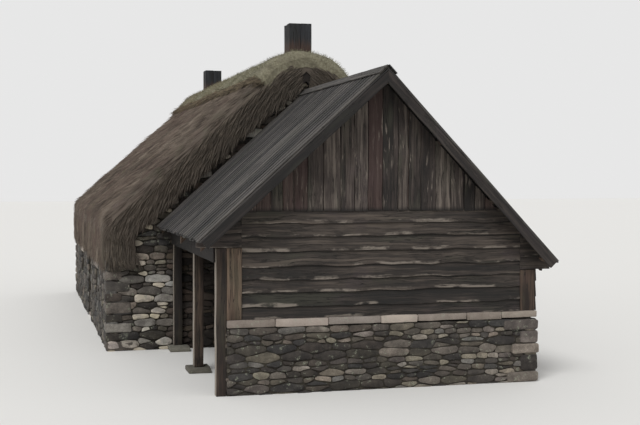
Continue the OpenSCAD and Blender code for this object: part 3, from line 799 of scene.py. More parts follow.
door_low, door_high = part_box("door_frame")
window_low, window_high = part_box("window_frames")
WINDOW_WIDTH = 0.6
LINTEL_REACH = 0.16
LINTEL_HEIGHT = 0.13
holes = [(door_low.y, door_high.y, 0, door_high.z)]
for start in (window_low.y, window_high.y - WINDOW_WIDTH):
    holes.append((start, start + WINDOW_WIDTH, window_low.z, window_high.z))
lintels = [(low - LINTEL_REACH, high + LINTEL_REACH, top, top + LINTEL_HEIGHT)
           for low, high, _, top in holes]
side = Heap()
# the left wall's stones are darker, as painted shade on a wall that the sun lights
lay_stones(side, rng, axes(Vector((-WALL_X, house_high.y + CORNER, 0)), -Y, Z), house_length,
           HEAD, (), [wall_hole(*hole) for hole in holes + lintels], SIDE_STAND, 0.72,
           flat=1.15)
side.make("left_wall_stones", field_stone, "rubble_stone")
side = Heap()
lay_stones(side, rng, axes(Vector((WALL_X, house_low.y - CORNER, 0)), Y, Z), house_length,
           HEAD, (), (), SIDE_STAND)
side.make("right_wall_stones", field_stone, "rubble_stone")

# %% [markdown]
# The plinth of the timber bay is laid of flat stones in low rows. Its inner faces show
# through the open side, so it is laid all round: on the front, its left end and its back,
# and on both faces of the right side.

# %% Rubble on the plinth
front_low, front_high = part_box("front_plinth")
side_low, side_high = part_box("right_plinth")
PLINTH_STAND = (0.012, 0.03)
plinth = Heap()
top = front_high.z
for corner, along, length in (
        (Vector((front_low.x, front_low.y, 0)), X, front_high.x - front_low.x + 0.02),
        (Vector((front_low.x, front_high.y, 0)), -Y, front_high.y - front_low.y),
        (Vector((side_low.x, front_high.y, 0)), -X, side_low.x - front_low.x),
        (Vector((side_low.x, side_high.y, 0)), -Y, side_high.y - side_low.y),
        (Vector((side_high.x, front_low.y - 0.02, 0)), Y, side_high.y - front_low.y)):
    # the plinth's stones are darker, as painted shade
    lay_stones(plinth, rng, axes(corner, along, Z), length, top, (), (), PLINTH_STAND, 0.8,
               flat=1.55)
plinth.make("plinth_stones", field_stone, "rubble_stone")

# %% [markdown]
# ## Hewn blocks
# Corner stones, lintels and capping slabs are single blocks. A cube is cut into a grid, its
# edges are rounded off and every point is shifted a little, so that no two are alike.


# %% Blocks
BLOCK_STEP = 0.16


def stone_block(heap, rng, low, high, rounding=0.22, uneven=0.012, pale=1.0):
    """One worn block that fills the box from low to high."""
    size = high - low
    shape = bmesh.new()
    bmesh.ops.create_cube(shape, size=1)
    bmesh.ops.scale(shape, vec=size, verts=shape.verts)
    bmesh.ops.bevel(shape, geom=shape.edges[:], offset=min(size) * rounding, segments=2,
                    profile=0.5, affect="EDGES", clamp_overlap=True, material=-1)
    for direction in (X, Y, Z):
        length = size.dot(direction)
        count = int(length / BLOCK_STEP)
        for i in range(1, count):
            split(shape, direction * (length * i / count - length / 2), direction)
    tone = rng.random() * pale
    bmesh.ops.translate(shape, vec=(low + high) / 2, verts=shape.verts)
    rough(shape, uneven, 7, tone * 9)
    heap.take(shape, tone)


# %% [markdown]
# Long and short corner stones take turns up each outer corner. They stand out about as far
# as the highest rubble, so the ends of its rows run into them.

# %% Corner stones
CORNER_RISE = (0.15, 0.27)
CORNER_LONG, CORNER_SHORT = (0.36, 0.52), (0.2, 0.28)
CORNER_STAND = (0.046, 0.056)
HALF_JOINT = 0.006


def quoins(heap, rng, corner, inward, height):
    """Corner stones up one outer corner, with the way into the wall along X and Y."""
    z, turn = 0, 0
    while z < height - 0.05:
        rise = min(rng.uniform(*CORNER_RISE), height - z)
        reach = [rng.uniform(*CORNER_LONG), rng.uniform(*CORNER_SHORT)]
        if turn % 2:
            reach.reverse()
        stand = rng.uniform(*CORNER_STAND)
        ends = [Vector((corner.x - inward[0] * stand, corner.y - inward[1] * stand,
                        z + HALF_JOINT)),
                Vector((corner.x + inward[0] * reach[0], corner.y + inward[1] * reach[1],
                        z + rise - HALF_JOINT))]
        low, high = [Vector(map(pick, *ends)) for pick in (min, max)]
        stone_block(heap, rng, low, high, pale=0.75)
        z += rise
        turn += 1


corners = Heap()
for x, y, inward in ((-WALL_X, house_low.y, (1, 1)), (WALL_X, house_low.y, (-1, 1)),
                     (-WALL_X, house_high.y, (1, -1)), (WALL_X, house_high.y, (-1, -1))):
    quoins(corners, rng, Vector((x, y, 0)), inward, HEAD)
quoins(corners, rng, Vector((front_high.x, front_low.y, 0)), (-1, 1), top)
corners.make("corner_stones", field_stone, "rubble_stone")

# %% [markdown]
# Lintels, the threshold and the padstones under the posts are dressed more evenly.

# %% Dressed stones
WALL_DEPTH = 0.75
dressed = Heap()
for low_y, high_y, foot, head in lintels:
    stone_block(dressed, rng, Vector((-WALL_X - CORNER, low_y, foot)),
                Vector((-WALL_X + WALL_DEPTH, high_y, head)), 0.12, 0.006)
dressed.make("lintel_stones", cap_stone, "cap_stone", ["lintels"])
dressed = Heap()
low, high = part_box("threshold_stone")
stone_block(dressed, rng, low, high, 0.2, 0.006)
dressed.make("worn_threshold", cap_stone, "cap_stone", ["threshold_stone"])
dressed = Heap()
low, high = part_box("padstones")
PADSTONE_LENGTH = 0.42
for start in (low.y, high.y - PADSTONE_LENGTH):
    stone_block(dressed, rng, Vector((low.x, start, low.z)),
                Vector((high.x, start + PADSTONE_LENGTH, high.z)), 0.2, 0.012)
dressed.make("worn_padstones", pad_stone, "cap_stone", ["padstones"])

# %% [markdown]
# Pale slabs cap the plinth. They differ in length, and each lies a little in or out.

# %% Capping slabs
cap_low, cap_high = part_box("plinth_cap")
slabs = Heap()
SLAB_GAP = 0.008
SLAB_LENGTH = (0.5, 0.95)
SHORTEST_SLAB = 0.35


def lay_slabs(start, end, box_of):
    """Slabs from start to end along one run, each in the box that box_of gives."""
    while start < end - 0.01:
        length = rng.uniform(*SLAB_LENGTH)
        if end - start - length < SHORTEST_SLAB:
            length = end - start
        low, high = box_of(start, start + length - SLAB_GAP)
        stone_block(slabs, rng, low, high, 0.14, 0.010)
        start += length


lay_slabs(cap_low.x, cap_high.x, lambda a, b: (
    Vector((a, cap_low.y + rng.uniform(0.0, 0.03), cap_low.z + rng.uniform(0, 0.025))),
    Vector((b, front_high.y, cap_high.z))))
lay_slabs(front_high.y + SLAB_GAP, cap_high.y, lambda a, b: (
    Vector((side_low.x, a, cap_low.z + rng.uniform(0, 0.025))),
    Vector((cap_high.x - rng.uniform(0.0, 0.02), b, cap_high.z))))
slabs.make("capping_slabs", cap_stone, "cap_stone", ["plinth_cap"])

# %% [markdown]
# ## Hewn timbers
# Posts, plates, rafters and poles keep the CAD shape. Each is copied, its edges are worn
# round, planes cut it into short lengths, and its points wander a little, as on timber that
# was hewn by hand. The grain follows its longest edge.


# %% Separate timbers
def islands(shape):
    """The separate solids of a mesh, each as a set of points."""
    left = set(shape.verts)
    while left:
        found, ahead = set(), [next(iter(left))]
        while ahead:
            v = ahead.pop()
            if v not in found:
                found.add(v)
                ahead.extend(edge.other_vert(v) for edge in v.link_edges)
        left -= found
        yield found


# %% [markdown]
# Points that the CAD mesh doubles are merged before the edges are worn, and flat faces that
# it splits into triangles become one again. Then each timber is worked on alone.


# %% Hewing
def hew(node, name, material, wear=0.012, wander=0.008, step=0.22, tones=None):
    """Copies a node's timbers, worn and uneven, in cuts a step apart."""
    heap = Heap()
    whole = bmesh.new()
    whole.from_mesh(nodes[node].data)
    bmesh.ops.remove_doubles(whole, verts=whole.verts, dist=0.00001)
    bmesh.ops.dissolve_limit(whole, angle_limit=math.radians(1), verts=whole.verts,
                             edges=whole.edges)
    parts = sorted(islands(whole), key=lambda part: min(tuple(v.co) for v in part))
    for number, part in enumerate(parts):
        shape = whole.copy()
        keep = {v.index for v in part}
        shape.verts.ensure_lookup_table()
        bmesh.ops.delete(shape, geom=[v for v in shape.verts if v.index not in keep],
                         context="VERTS")
        longest = max(shape.edges, key=lambda edge: edge.calc_length())
        along = (longest.verts[1].co - longest.verts[0].co).normalized()
        middle = sum((v.co for v in shape.verts), Vector()) / len(shape.verts)
        sharp = [edge for edge in shape.edges if edge.calc_face_angle(0) > math.radians(30)]
        bmesh.ops.bevel(shape, geom=sharp, offset=wear, segments=2, profile=0.5,
                        affect="EDGES", clamp_overlap=True, material=-1)
        reach = max((v.co - middle).dot(along) for v in shape.verts)
        count = int(2 * reach / step)
        for i in range(1, count):
            split(shape, middle + along * reach * (2 * i / count - 1), along)
        layer = shape.verts.layers.float_vector.new("grain")
        turn = along.to_track_quat("X", "Z").inverted()
        shift = Vector((number * 1.7, number * 0.9, number * 2.3))
        for v in shape.verts:
            v[layer] = turn @ (v.co - middle) + shift
        rough(shape, wander, 2.2, number)
        heap.take(shape, tones[number] if tones else (number * 0.37 + 0.3) % 1)
    whole.free()
    heap.make(name, material, "timber", [node])


# %% [markdown]
# Every CAD node of timbers gets its hewn copy. The posts by the yard have a pale side as
# painted light, the gable posts have tones of their own, and frames and poles are worn less.

# %% Hewn timbers
for node, name in (("right_posts", "worn_right_posts"), ("left_plate", "hewn_left_plate"),
                   ("right_plate", "hewn_right_plate"), ("gable_rail", "hewn_gable_rail"),
                   ("gable_studs", "hewn_studs"), ("bay_left_rafters", "hewn_left_rafters"),
                   ("bay_right_rafters", "hewn_right_rafters"), ("bay_purlins", "hewn_purlins"),
                   ("bay_collars", "hewn_collars"), ("left_couples", "hewn_left_couples"),
                   ("right_couples", "hewn_right_couples"),
                   ("collar_beams", "hewn_collar_beams")):
    hew(node, name, timber_wood)
hew("left_posts", "worn_left_posts", post_wood)
hew("gable_posts", "worn_gable_posts", timber_wood, tones=(0.7, 0.0))
hew("house_purlins", "round_purlins", timber_wood, 0.003, 0.006, 0.7)
for node, name in (("door_frame", "worn_door_frame"), ("window_frames", "worn_window_frames")):
    hew(node, name, timber_wood, 0.003, 0.002)

# %% [markdown]
# ## Boards
# Sawn from whole trunks, the boards keep a waney edge, where the bark was. A plank is a cube
# stretched, bevelled and cut across. Noise then moves its two edges apart or together.


# %% Planks
PLANK_STEP = 0.2
PLANK_EDGE = 0.004


def plank(heap, rng, origin, along, up, size, waney=0.006, cuts=(), warp=0.004, tones=(0, 1)):
    """One board. Its length runs along from its origin, and its width spreads to both sides."""
    length, width, thickness = size
    shape = bmesh.new()
    bmesh.ops.create_cube(shape, size=1)
    bmesh.ops.scale(shape, vec=size, verts=shape.verts)
    bmesh.ops.translate(shape, vec=(length / 2, 0, thickness / 2), verts=shape.verts)
    bmesh.ops.bevel(shape, geom=shape.edges[:], offset=min(PLANK_EDGE, thickness * 0.2),
                    segments=1, profile=0.5, affect="EDGES", clamp_overlap=True, material=-1)
    count = int(length / PLANK_STEP)
    for i in range(1, count):
        split(shape, X * length * i / count, X)
    layer = shape.verts.layers.float_vector.new("grain")
    tone = rng.uniform(*tones)
    shift = Vector((tone * 37, 0, tone * 53))
    for v in shape.verts:
        v[layer] = v.co + shift
        side = 1 if v.co.y > 0 else -1
        edge = noise.noise(Vector((v.co.x * 2.3, side * 4 + tone * 50, 0)))
        bow = noise.noise(Vector((v.co.x * 1.1, tone * 70, 9)))
        v.co.y += edge * waney * 2
        v.co.z += bow * warp
    shape.transform(axes(origin, along, up))
    for point, plane in cuts:
        trim(shape, point, plane)
    heap.take(shape, tone)


def trim(shape, point, plane):
    """Cuts off what lies past a plane, closes the cut and drops slivers."""
    if shape.verts:
        made = bmesh.ops.bisect_plane(
            shape, geom=shape.verts[:] + shape.edges[:] + shape.faces[:], plane_co=point,
            plane_no=plane, clear_outer=True)
        edges = [item for item in made["geom_cut"] if isinstance(item, bmesh.types.BMEdge)]
        if edges:
            bmesh.ops.holes_fill(shape, edges=edges, sides=0)
        bmesh.ops.dissolve_degenerate(shape, dist=0.0002, edges=shape.edges[:])


# %% [markdown]
# The house door is five such planks, with three ledges across them on the inside.

# %% Door
DOOR_PLANKS = 5
LEDGE_HEIGHT, LEDGE_DEPTH = 0.11, 0.025
LEDGE_PLACES = (0.12, 0.5, 0.88)
low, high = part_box("house_door")
rng = random.Random(19)
door = Heap()
width = (high.y - low.y) / DOOR_PLANKS
for i in range(DOOR_PLANKS):
    plank(door, rng, Vector((low.x, low.y + width * (i + 0.5), low.z)), Z, -Y,
          (high.z - low.z, width - 0.007, high.x - low.x - LEDGE_DEPTH), 0.001, (), 0.001)
for share in LEDGE_PLACES:
    place = Vector((high.x - LEDGE_DEPTH, low.y + 0.01, low.z + share * (high.z - low.z)))
    plank(door, rng, place, Y, Z, (high.y - low.y - 0.02, LEDGE_HEIGHT, LEDGE_DEPTH), 0.001, (),
          0.001)
door.make("plank_door", timber_wood, "timber", ["house_door"])

# %% [markdown]
# ## The gable of the timber bay
# Standing boards fill the top of the gable, with a second layer behind their gaps. They
# hang over the lying slab boards below, so a shadow runs under them. Planes that follow the
# board roof, each at a depth under it, cut both to the rake.

# %% Under the board roof
bay_pitch = {side: math.atan(fall) for side, fall in FALLS.items()}


def slope(side):
    """Down the slope, and square out of it, for one side of the board roof."""
    turn = bay_pitch[side]
    return (Vector((side * math.cos(turn), 0, -math.sin(turn))),
            Vector((side * math.sin(turn), 0, math.cos(turn))))


def under_roof(side, depth):
    """The plane that lies a depth under the board roof, as a cut."""
    out = slope(side)[1]
    return (Vector((0, 0, BAY_RIDGE)) - out * depth, out)


# %% [markdown]
# The standing boards differ in width and in how far they hang down. The layer behind them
# is of even boards.

# %% Standing boards
STANDING_DEPTH = 0.11
STANDING_WIDTH = (0.15, 0.25)
HANG = (0.035, 0.055)
BEHIND_WIDTH = 0.3
rakes = [under_roof(side, STANDING_DEPTH) for side in (LEFT, RIGHT)]
board_low, board_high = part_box("gable_upper_boards")
FACE_Y = board_low.y
BACK_Y = board_high.y
RAIL = board_low.z
rng = random.Random(23)
gable = Heap()
x = board_low.x
while x < board_high.x:
    width = rng.uniform(*STANDING_WIDTH)
    foot = RAIL - rng.uniform(*HANG)
    top = BAY_RIDGE - FALLS[LEFT if x + width < 0 else RIGHT] * max(0, abs(x) - width)
    plank(gable, rng, Vector((x + width / 2, FACE_Y + 0.024, foot)), Z, -X,
          (top - foot, width - 0.004, 0.022), 0.008, rakes)
    x += width + rng.uniform(0.002, 0.012)
x = board_low.x
while x < board_high.x:
    plank(gable, rng, Vector((x + BEHIND_WIDTH / 2, BACK_Y - 0.002, RAIL)), Z, -X,
          (BAY_RIDGE - RAIL, BEHIND_WIDTH - 0.002, 0.022), 0.001, rakes)
    x += BEHIND_WIDTH
gable.make("standing_boards", gable_wood, "gable_boards", ["gable_upper_boards"])

# %% [markdown]
# The lying boards lap each other, in courses of uneven height. They run between the posts,
# and short ones close the ends above the plates.

# %% Lying boards
LYING_DEPTH = 0.06
LEAN = 0.13
LAP = 0.035
lying_rakes = [under_roof(side, LYING_DEPTH) for side in (LEFT, RIGHT)]
lying_low, lying_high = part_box("gable_lower_boards")
post_low, post_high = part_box("gable_posts")
LEFT_POST_WIDTH, RIGHT_POST_WIDTH = 0.22, 0.235
SLAB = 0.19
left_x, right_x = post_low.x + LEFT_POST_WIDTH, post_high.x - RIGHT_POST_WIDTH
tops = {LEFT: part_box("left_plate")[0].z, RIGHT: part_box("right_plate")[0].z}
gable = Heap()


def slab_board(z, start, end, height=SLAB):
    """A lying slab board, leaning out at its lower edge. The upper ones are paler."""
    share = (z - lying_low.z) / (lying_high.z - lying_low.z)
    up = Vector((0, math.sin(LEAN), math.cos(LEAN)))
    origin = Vector((start, FACE_Y + 0.040, z + height / 2))
    plank(gable, rng, origin, X, up, (end - start, height + LAP, 0.026), 0.016,
          [*lying_rakes, (Vector((0, 0, RAIL)), Z)], 0.006,
          tones=(share * 0.35, 0.55 + share * 0.5))


z = lying_low.z
while z < lying_high.z - 0.02:
    height = SLAB * rng.uniform(0.85, 1.15)
    slab_board(z + 0.008, left_x, right_x, height)
    z += height
for side, start, end in ((LEFT, lying_low.x, left_x), (RIGHT, right_x, lying_high.x)):
    z = tops[side]
    while z < lying_high.z - 0.05:
        slab_board(z + 0.02, start, end)
        z += SLAB
gable.make("lying_slab_boards", slab_wood, "gable_boards", ["gable_lower_boards"])

# %% [markdown]
# The right wall of the bay has slab boards too, on its plinth, and a broad header board
# runs over the open side in two lengths.

# %% Side boards
SIDE_ROWS = 3
SIDE_LEAN = 0.06
low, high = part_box("right_wall_boards")
wall = Heap()
lift = (high.z - low.z) / SIDE_ROWS
for i in range(SIDE_ROWS):
    middle = (low.y + high.y) / 2 + rng.uniform(-0.3, 0.3)
    for start, end in ((low.y, middle - 0.004), (middle, high.y)):
        plank(wall, rng, Vector((low.x + 0.022, start, low.z + lift * (i + 0.5))), Y,
              Vector((-math.sin(SIDE_LEAN), 0, math.cos(SIDE_LEAN))),
              (end - start, lift + 0.04, 0.022), 0.010,
              [(Vector((0, 0, high.z)), Z), (Vector((0, 0, low.z)), -Z)])
wall.make("side_slab_boards", slab_wood, "gable_boards", ["right_wall_boards"])

FIRST_HEADER = 2.1
low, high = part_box("left_header_board")
header = Heap()
middle = low.y + FIRST_HEADER
for start, end in ((high.y, middle + 0.003), (middle - 0.003, low.y)):
    plank(header, rng, Vector((high.x, start, (low.z + high.z) / 2)), -Y, Z,
          (start - end, high.z - low.z - 0.012, high.x - low.x - 0.004), 0.004)
header.make("header_boards", gable_wood, "gable_boards", ["left_header_board"])

# %% [markdown]
# ## The board roof
# A first layer of boards runs from ridge to eave, and a second layer of narrower ones covers
# its joints. All are a little uneven at the eaves.

# %% Board roof
ROOF_BOARD = 0.025
UNDER_WIDTH, COVER_WIDTH = (0.17, 0.23), (0.13, 0.17)
COVER_GAP = (0.045, 0.075)
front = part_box("left_board_roof")[0].y
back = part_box("left_board_roof")[1].y
reaches = {LEFT: -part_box("left_board_roof")[0].x, RIGHT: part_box("right_board_roof")[1].x}
ridge_cuts = {side: [(Vector((0, 0, 0)), Vector((-side, 0, 0)))] for side in (LEFT, RIGHT)}
for side, node, name in ((LEFT, "left_board_roof", "roof_boards_left"),
                         (RIGHT, "right_board_roof", "roof_boards_right")):
    down, out = slope(side)
    run = reaches[side] / math.cos(bay_pitch[side])
    ridge = Vector((0, 0, BAY_RIDGE))
    roof = Heap()
    for layer, depth in ((0, 2 * ROOF_BOARD), (1, ROOF_BOARD)):
        y = front + 0.03 * layer
        while y < back - 0.03:
            width = min(rng.uniform(*(COVER_WIDTH if layer else UNDER_WIDTH)), back - y)
            origin = ridge - out * depth - down * 0.04 + Y * (y + width / 2)
            at_verge = layer and y < front + 0.1
            plank(roof, rng, origin, down, Y * side,
                  (run + 0.03 - rng.uniform(0, 0.035), width - 0.002, ROOF_BOARD - 0.003),
                  0.004 if layer else 0.0, ridge_cuts[side], 0.003 if layer else 0.0,
                  (1.0, 1.25) if at_verge else (0, 1))
            y += width + (rng.uniform(*COVER_GAP) if layer else 0.002)
    roof.make(name, roof_wood, "roof_boards", [node])

# %% [markdown]
# Two ridge boards and two bargeboards close the edges of the roof.

# %% Ridge boards and bargeboards
RIDGE_BOARD = 0.17
BARGE_DEPTH, BARGE_THICKNESS = 0.13, 0.03
trims = Heap()
for side in (LEFT, RIGHT):
    down, out = slope(side)
    ridge = Vector((0, back if side == LEFT else front, BAY_RIDGE))
    plank(trims, rng, ridge + down * RIDGE_BOARD / 2 + out * 0.001, Y * side, -down,
          (back - front, RIDGE_BOARD, ROOF_BOARD - 0.004), 0.003, ridge_cuts[side], 0.002)
trims.make("worn_ridge_boards", roof_wood, "roof_boards", ["ridge_boards"])

trims = Heap()
for side in (LEFT, RIGHT):
    down, out = slope(side)
    run = reaches[side] / math.cos(bay_pitch[side])
    start = Vector((0, front + (0 if side == LEFT else BARGE_THICKNESS), BAY_RIDGE))
    plank(trims, rng, start - out * (2 * ROOF_BOARD + BARGE_DEPTH / 2) - down * 0.2, down, out,
          (run + 0.15, BARGE_DEPTH - 0.006, BARGE_THICKNESS), 0.004, ridge_cuts[side], 0.002)
# the bargeboards' dark wood is painted shade
trims.make("worn_bargeboards", shaded_verge_wood, "gable_boards", ["bargeboards"])

# %% [markdown]
# ## Chimneys
# Each chimney is a box of upright boards, two to a side, black with soot and tar.

# %% Chimneys
FLUE_BOARD = 0.045
for node, name in (("near_chimney", "near_box_chimney"), ("far_chimney", "far_box_chimney")):
    low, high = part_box(node)
    middle = (low + high) / 2
    half = (high.x - low.x) / 2
    box_chimney = Heap()
    for out, up in ((-Y, -X), (Y, X), (-X, Y), (X, -Y)):
        reach = half if abs(out.y) else half - FLUE_BOARD
        for share in (-0.5, 0.5):
            origin = (Vector((middle.x, middle.y, low.z)) + out * (half - FLUE_BOARD)
                      + up * reach * share)
            plank(box_chimney, rng, origin, Z, up,
                  (high.z - low.z - rng.uniform(0, 0.012), reach - 0.006, FLUE_BOARD - 0.003),
                  0.002, (), 0.0015)
    box_chimney.make(name, soot_wood, "sooty_boards", [node])

# %% [markdown]
# ## The line of the roof
# On each side the roof's outline is a ridge arc, a straight slope, a shoulder arc and a round
# lip. The line is written once, as points, each with the way out of the roof there, and
# thatch and turf both follow it.

# %% Roof line
ridge_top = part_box("right_thatch")[1].z
EAVE_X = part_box("right_thatch")[1].x
VERGE_NEAR, VERGE_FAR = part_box("right_thatch")[0].y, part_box("right_thatch")[1].y
RIDGE_RADIUS, SHOULDER_RADIUS, LIP_RADIUS = 1.0, 0.6, 0.09
SHOULDER_Z = 2.12
VERGE_ROUND = 0.38
TURF_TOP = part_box("right_turf_layer")[1].z
EAVE_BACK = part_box("right_turf_layer")[1].x
chimney_middles = [(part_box(node)[0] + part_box(node)[1]) / 2
                   for node in ("near_chimney", "far_chimney")]
CHIMNEY_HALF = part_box("near_chimney")[1].x


def arc(middle, radius, start, end, steps):
    """Points on an arc in the X-Z plane, each with its way out."""
    for i in range(steps + 1):
        turn = start + (end - start) * i / steps
        out = Vector((math.cos(turn), 0, math.sin(turn)))
        yield middle + out * radius, out


upright = math.radians(90)
roof_line = list(arc(Z * (ridge_top - RIDGE_RADIUS), RIDGE_RADIUS, upright, upright - pitch, 5))
shoulder = list(arc(Vector((EAVE_X - SHOULDER_RADIUS, 0, SHOULDER_Z)), SHOULDER_RADIUS,
                    upright - pitch, 0, 6))
slope_top, slope_out = roof_line[-1]
SLOPE_STEPS = 26
roof_line += [(slope_top.lerp(shoulder[0][0], i / SLOPE_STEPS), slope_out)
              for i in range(1, SLOPE_STEPS)]
roof_line += shoulder
roof_line += [(Vector((EAVE_X, 0, SHOULDER_Z - 0.12 * i)), X) for i in (1, 2)]
roof_line += [(point, X) for point, _ in arc(
    Vector((EAVE_X - LIP_RADIUS, 0, HEAD + LIP_RADIUS)), LIP_RADIUS, 0, -upright, 3)]
last = len(roof_line) - 1
print("points down one side of the roof:", len(roof_line))

# %% [markdown]
# At both verges the outline is drawn in, so the ends roll down, and shallow hollows run down
# the slope between soft bulges. Their depth is measured on the CAD thatch at the foot of its
# shoulder, where the roof faces straight out.


# %% Hollows
def drawn_in():
    """How far the CAD outline is drawn in, as pairs of a place along the house and a depth."""
    depths = {}
    for v in nodes["right_thatch"].data.vertices:
        if abs(v.co.z - SHOULDER_Z) < 0.0005 and v.co.x > EAVE_BACK:
            y = round(v.co.y, 4)
            depths[y] = min(depths.get(y, 1), EAVE_X - v.co.x)
    return sorted(depths.items())


hollows = drawn_in()
print("places where the roof outline changes:", len(hollows))


def roll(y):
    """The depth at any place along the house, between those that were measured."""
    i = min(max(bisect.bisect(hollows, (y,)), 1), len(hollows) - 1)
    (start, before), (end, after) = hollows[i - 1], hollows[i]
    share = min(max((y - start) / (end - start), 0), 1)
    return before + (after - before) * share


def sag(point):
    """The uneven surface of old thatch, as a depth under the CAD outline."""
    return 0.020 + 0.008 * noise.noise(point * 1.1) + 0.010 * noise.noise(point * 3.1)


# %% [markdown]
# A place on the roof is named by its side, its step down the roof line, and its place along
# the house.


# %% Places on the roof
def on_roof(side, step, y, lift=0):
    """The place on the roof at a step down its line, and a height above the thatch."""
    i = min(int(step), len(roof_line) - 2)
    (a, out_a), (b, out_b) = roof_line[i], roof_line[i + 1]
    point = a.lerp(b, step - i)
    out = out_a.lerp(out_b, step - i)
    point = Vector((point.x * side, y, point.z))
    out = Vector((out.x * side, 0, out.z))
    return point - out * (roll(y) + sag(point) - lift)


def roof_frame(side, step, y):
    """A place on the roof, the way down the slope there, and the way out."""
    here = on_roof(side, step, y)
    down = (on_roof(side, step + 0.3, y) - on_roof(side, step - 0.3, y)).normalized()
    along = (on_roof(side, step, y + 0.05) - on_roof(side, step, y - 0.05)).normalized()
    return here, down, (down.cross(along) * side).normalized()


# %% [markdown]
# The thatch is one body over both slopes, and the sods are another. The section of each is a
# flat face, extruded along the house step by step while its points follow the roof line.
# Holes are cut for the chimneys.


# %% Bodies along the roof
def stations(near, far, step):
    """Places along the house, closer together where the verges roll."""
    ends = [VERGE_ROUND * (1 - math.cos(math.radians(turn))) for turn in range(0, 91, 15)]
    count = int((far - near - 2 * VERGE_ROUND) / step)
    middle = [near + VERGE_ROUND + (far - near - 2 * VERGE_ROUND) * i / count
              for i in range(1, count)]
    return [near + end for end in ends] + middle + [far - end for end in reversed(ends)]


def sweep(section, places):
    """Extrudes a closed section, a function of y, from place to place."""
    first = section(places[0])
    shape = bmesh.new()
    bmesh.ops.create_circle(shape, cap_ends=True, radius=1, segments=len(first))
    face = shape.faces[:][0]
    for v, point in zip(face.verts, first):
        v.co = point
    for y in places[1:]:
        face = extrude(shape, face, section(y), y == places[1])
    for out in (X, -X):
        split(shape, out * CHIMNEY_HALF, out)
    for middle in chimney_middles:
        chimney_hole(shape, middle)
    bmesh.ops.triangulate(shape, faces=[face for face in shape.faces if len(face.verts) > 4])
    bmesh.ops.recalc_face_normals(shape, faces=shape.faces[:])
    return shape


def chimney_hole(shape, middle):
    """Cuts a square hole from top to underside, and closes its four walls."""
    for out in (Y, -Y):
        split(shape, middle + out * CHIMNEY_HALF, out)
    inside = [face for face in shape.faces
              if abs(face.calc_center_median().x - middle.x) < CHIMNEY_HALF
              and abs(face.calc_center_median().y - middle.y) < CHIMNEY_HALF]
    bmesh.ops.delete(shape, geom=inside, context="FACES")
    rim = [edge for edge in shape.edges if edge.is_boundary]
    bmesh.ops.bridge_loops(shape, edges=rim)


# %% [markdown]
# The section of the thatch runs up the left slope, down the right one, and back under the
# eaves and over the turf layer.

# %% Thatch body
END_ROOM = 0.03
THATCH_STEP = 0.16
under_eave = [Vector((EAVE_BACK, 0, HEAD)),
              Vector((EAVE_BACK, 0, TURF_TOP - math.tan(pitch) * EAVE_BACK))]


def thatch_section(y):
    right = [on_roof(RIGHT, i, y) for i in range(last + 1)]
    left = [on_roof(LEFT, i, y) for i in range(last, 0, -1)]
    under = [point + Y * y for point in under_eave] + [Vector((0, y, TURF_TOP))]
    under += [Vector((-point.x, y, point.z)) for point in reversed(under_eave)]
    return left + right + under


body = Heap()
thatch_places = stations(VERGE_NEAR + END_ROOM, VERGE_FAR - END_ROOM, THATCH_STEP)
# the body's low tone darkens it, as painted shade in the gaps between the reeds
body.take(sweep(thatch_section, thatch_places), 0.3)
body.make("thatch_body", thatch_stems, "thatch", ["left_thatch", "right_thatch"])

# %% [markdown]
# Thousands of reeds lie on the body. One reed is a slim three-sided cone with its base poked
# out to a second point. A blade of grass is such a cone with a flat base. Both are made once
# and kept as plain points and faces, because copies of those are quick.


# %% A reed and a blade of grass
def pattern(shape):
    """A small shape as its points and faces. The shape is freed."""
    shape.verts.index_update()
    made = ([v.co.copy() for v in shape.verts], [[v.index for v in face.verts]
                                                  for face in shape.faces])
    shape.free()
    return made


REED_WAIST = 0.35
reed = bmesh.new()
bmesh.ops.create_cone(reed, cap_ends=True, segments=3, radius1=0.5, radius2=0,
                      depth=1 - REED_WAIST,
                      matrix=Matrix.Translation((0, 0, (1 + REED_WAIST) / 2)))
base = min(reed.faces, key=lambda face: face.calc_center_median().z)
bmesh.ops.poke(reed, faces=[base], offset=REED_WAIST)
REED = pattern(reed)
blade = bmesh.new()
bmesh.ops.create_cone(blade, cap_ends=True, segments=3, radius1=0.5, radius2=0, depth=1,
                      matrix=Matrix.Translation((0, 0, 0.5)))
BLADE = pattern(blade)
print("faces of a reed and of a blade:", len(REED[1]), len(BLADE[1]))


# %% [markdown]
# Each copy gets a size, a way to point in and a back. A little chance in its way keeps the
# reeds from looking combed.


# %% Placing
def put(heap, shape, point, along, out, size, tone):
    """Copies a pattern to a place, pointing along one way and with its back to another.

    A copy that would pass the CAD model's sides is moved back inside them.
    """
    along = along.normalized()
    side = out.cross(along).normalized()
    matrix = Matrix((side * size[0], side.cross(along) * -size[1], along * size[2]))
    matrix = matrix.transposed()
    points = [point + matrix @ p for p in shape[0]]
    shift = Vector()
    for axis in (0, 1):
        places = [p[axis] for p in points]
        shift[axis] = (max(0, cad_bounds[0][axis] - min(places))
                       - max(0, max(places) - cad_bounds[1][axis]))
    heap.add([p + shift for p in points], shape[1], tone)


def stray(rng, amount):
    """A small random turn to add to a way."""
    return Vector([rng.gauss(0, amount) for _ in range(3)])


# %% [markdown]
# The reeds start under the edge of the turf and follow the slope down, with their tips just
# clear of it. Their tones change in soft patches, because such thatch is mended in parts.

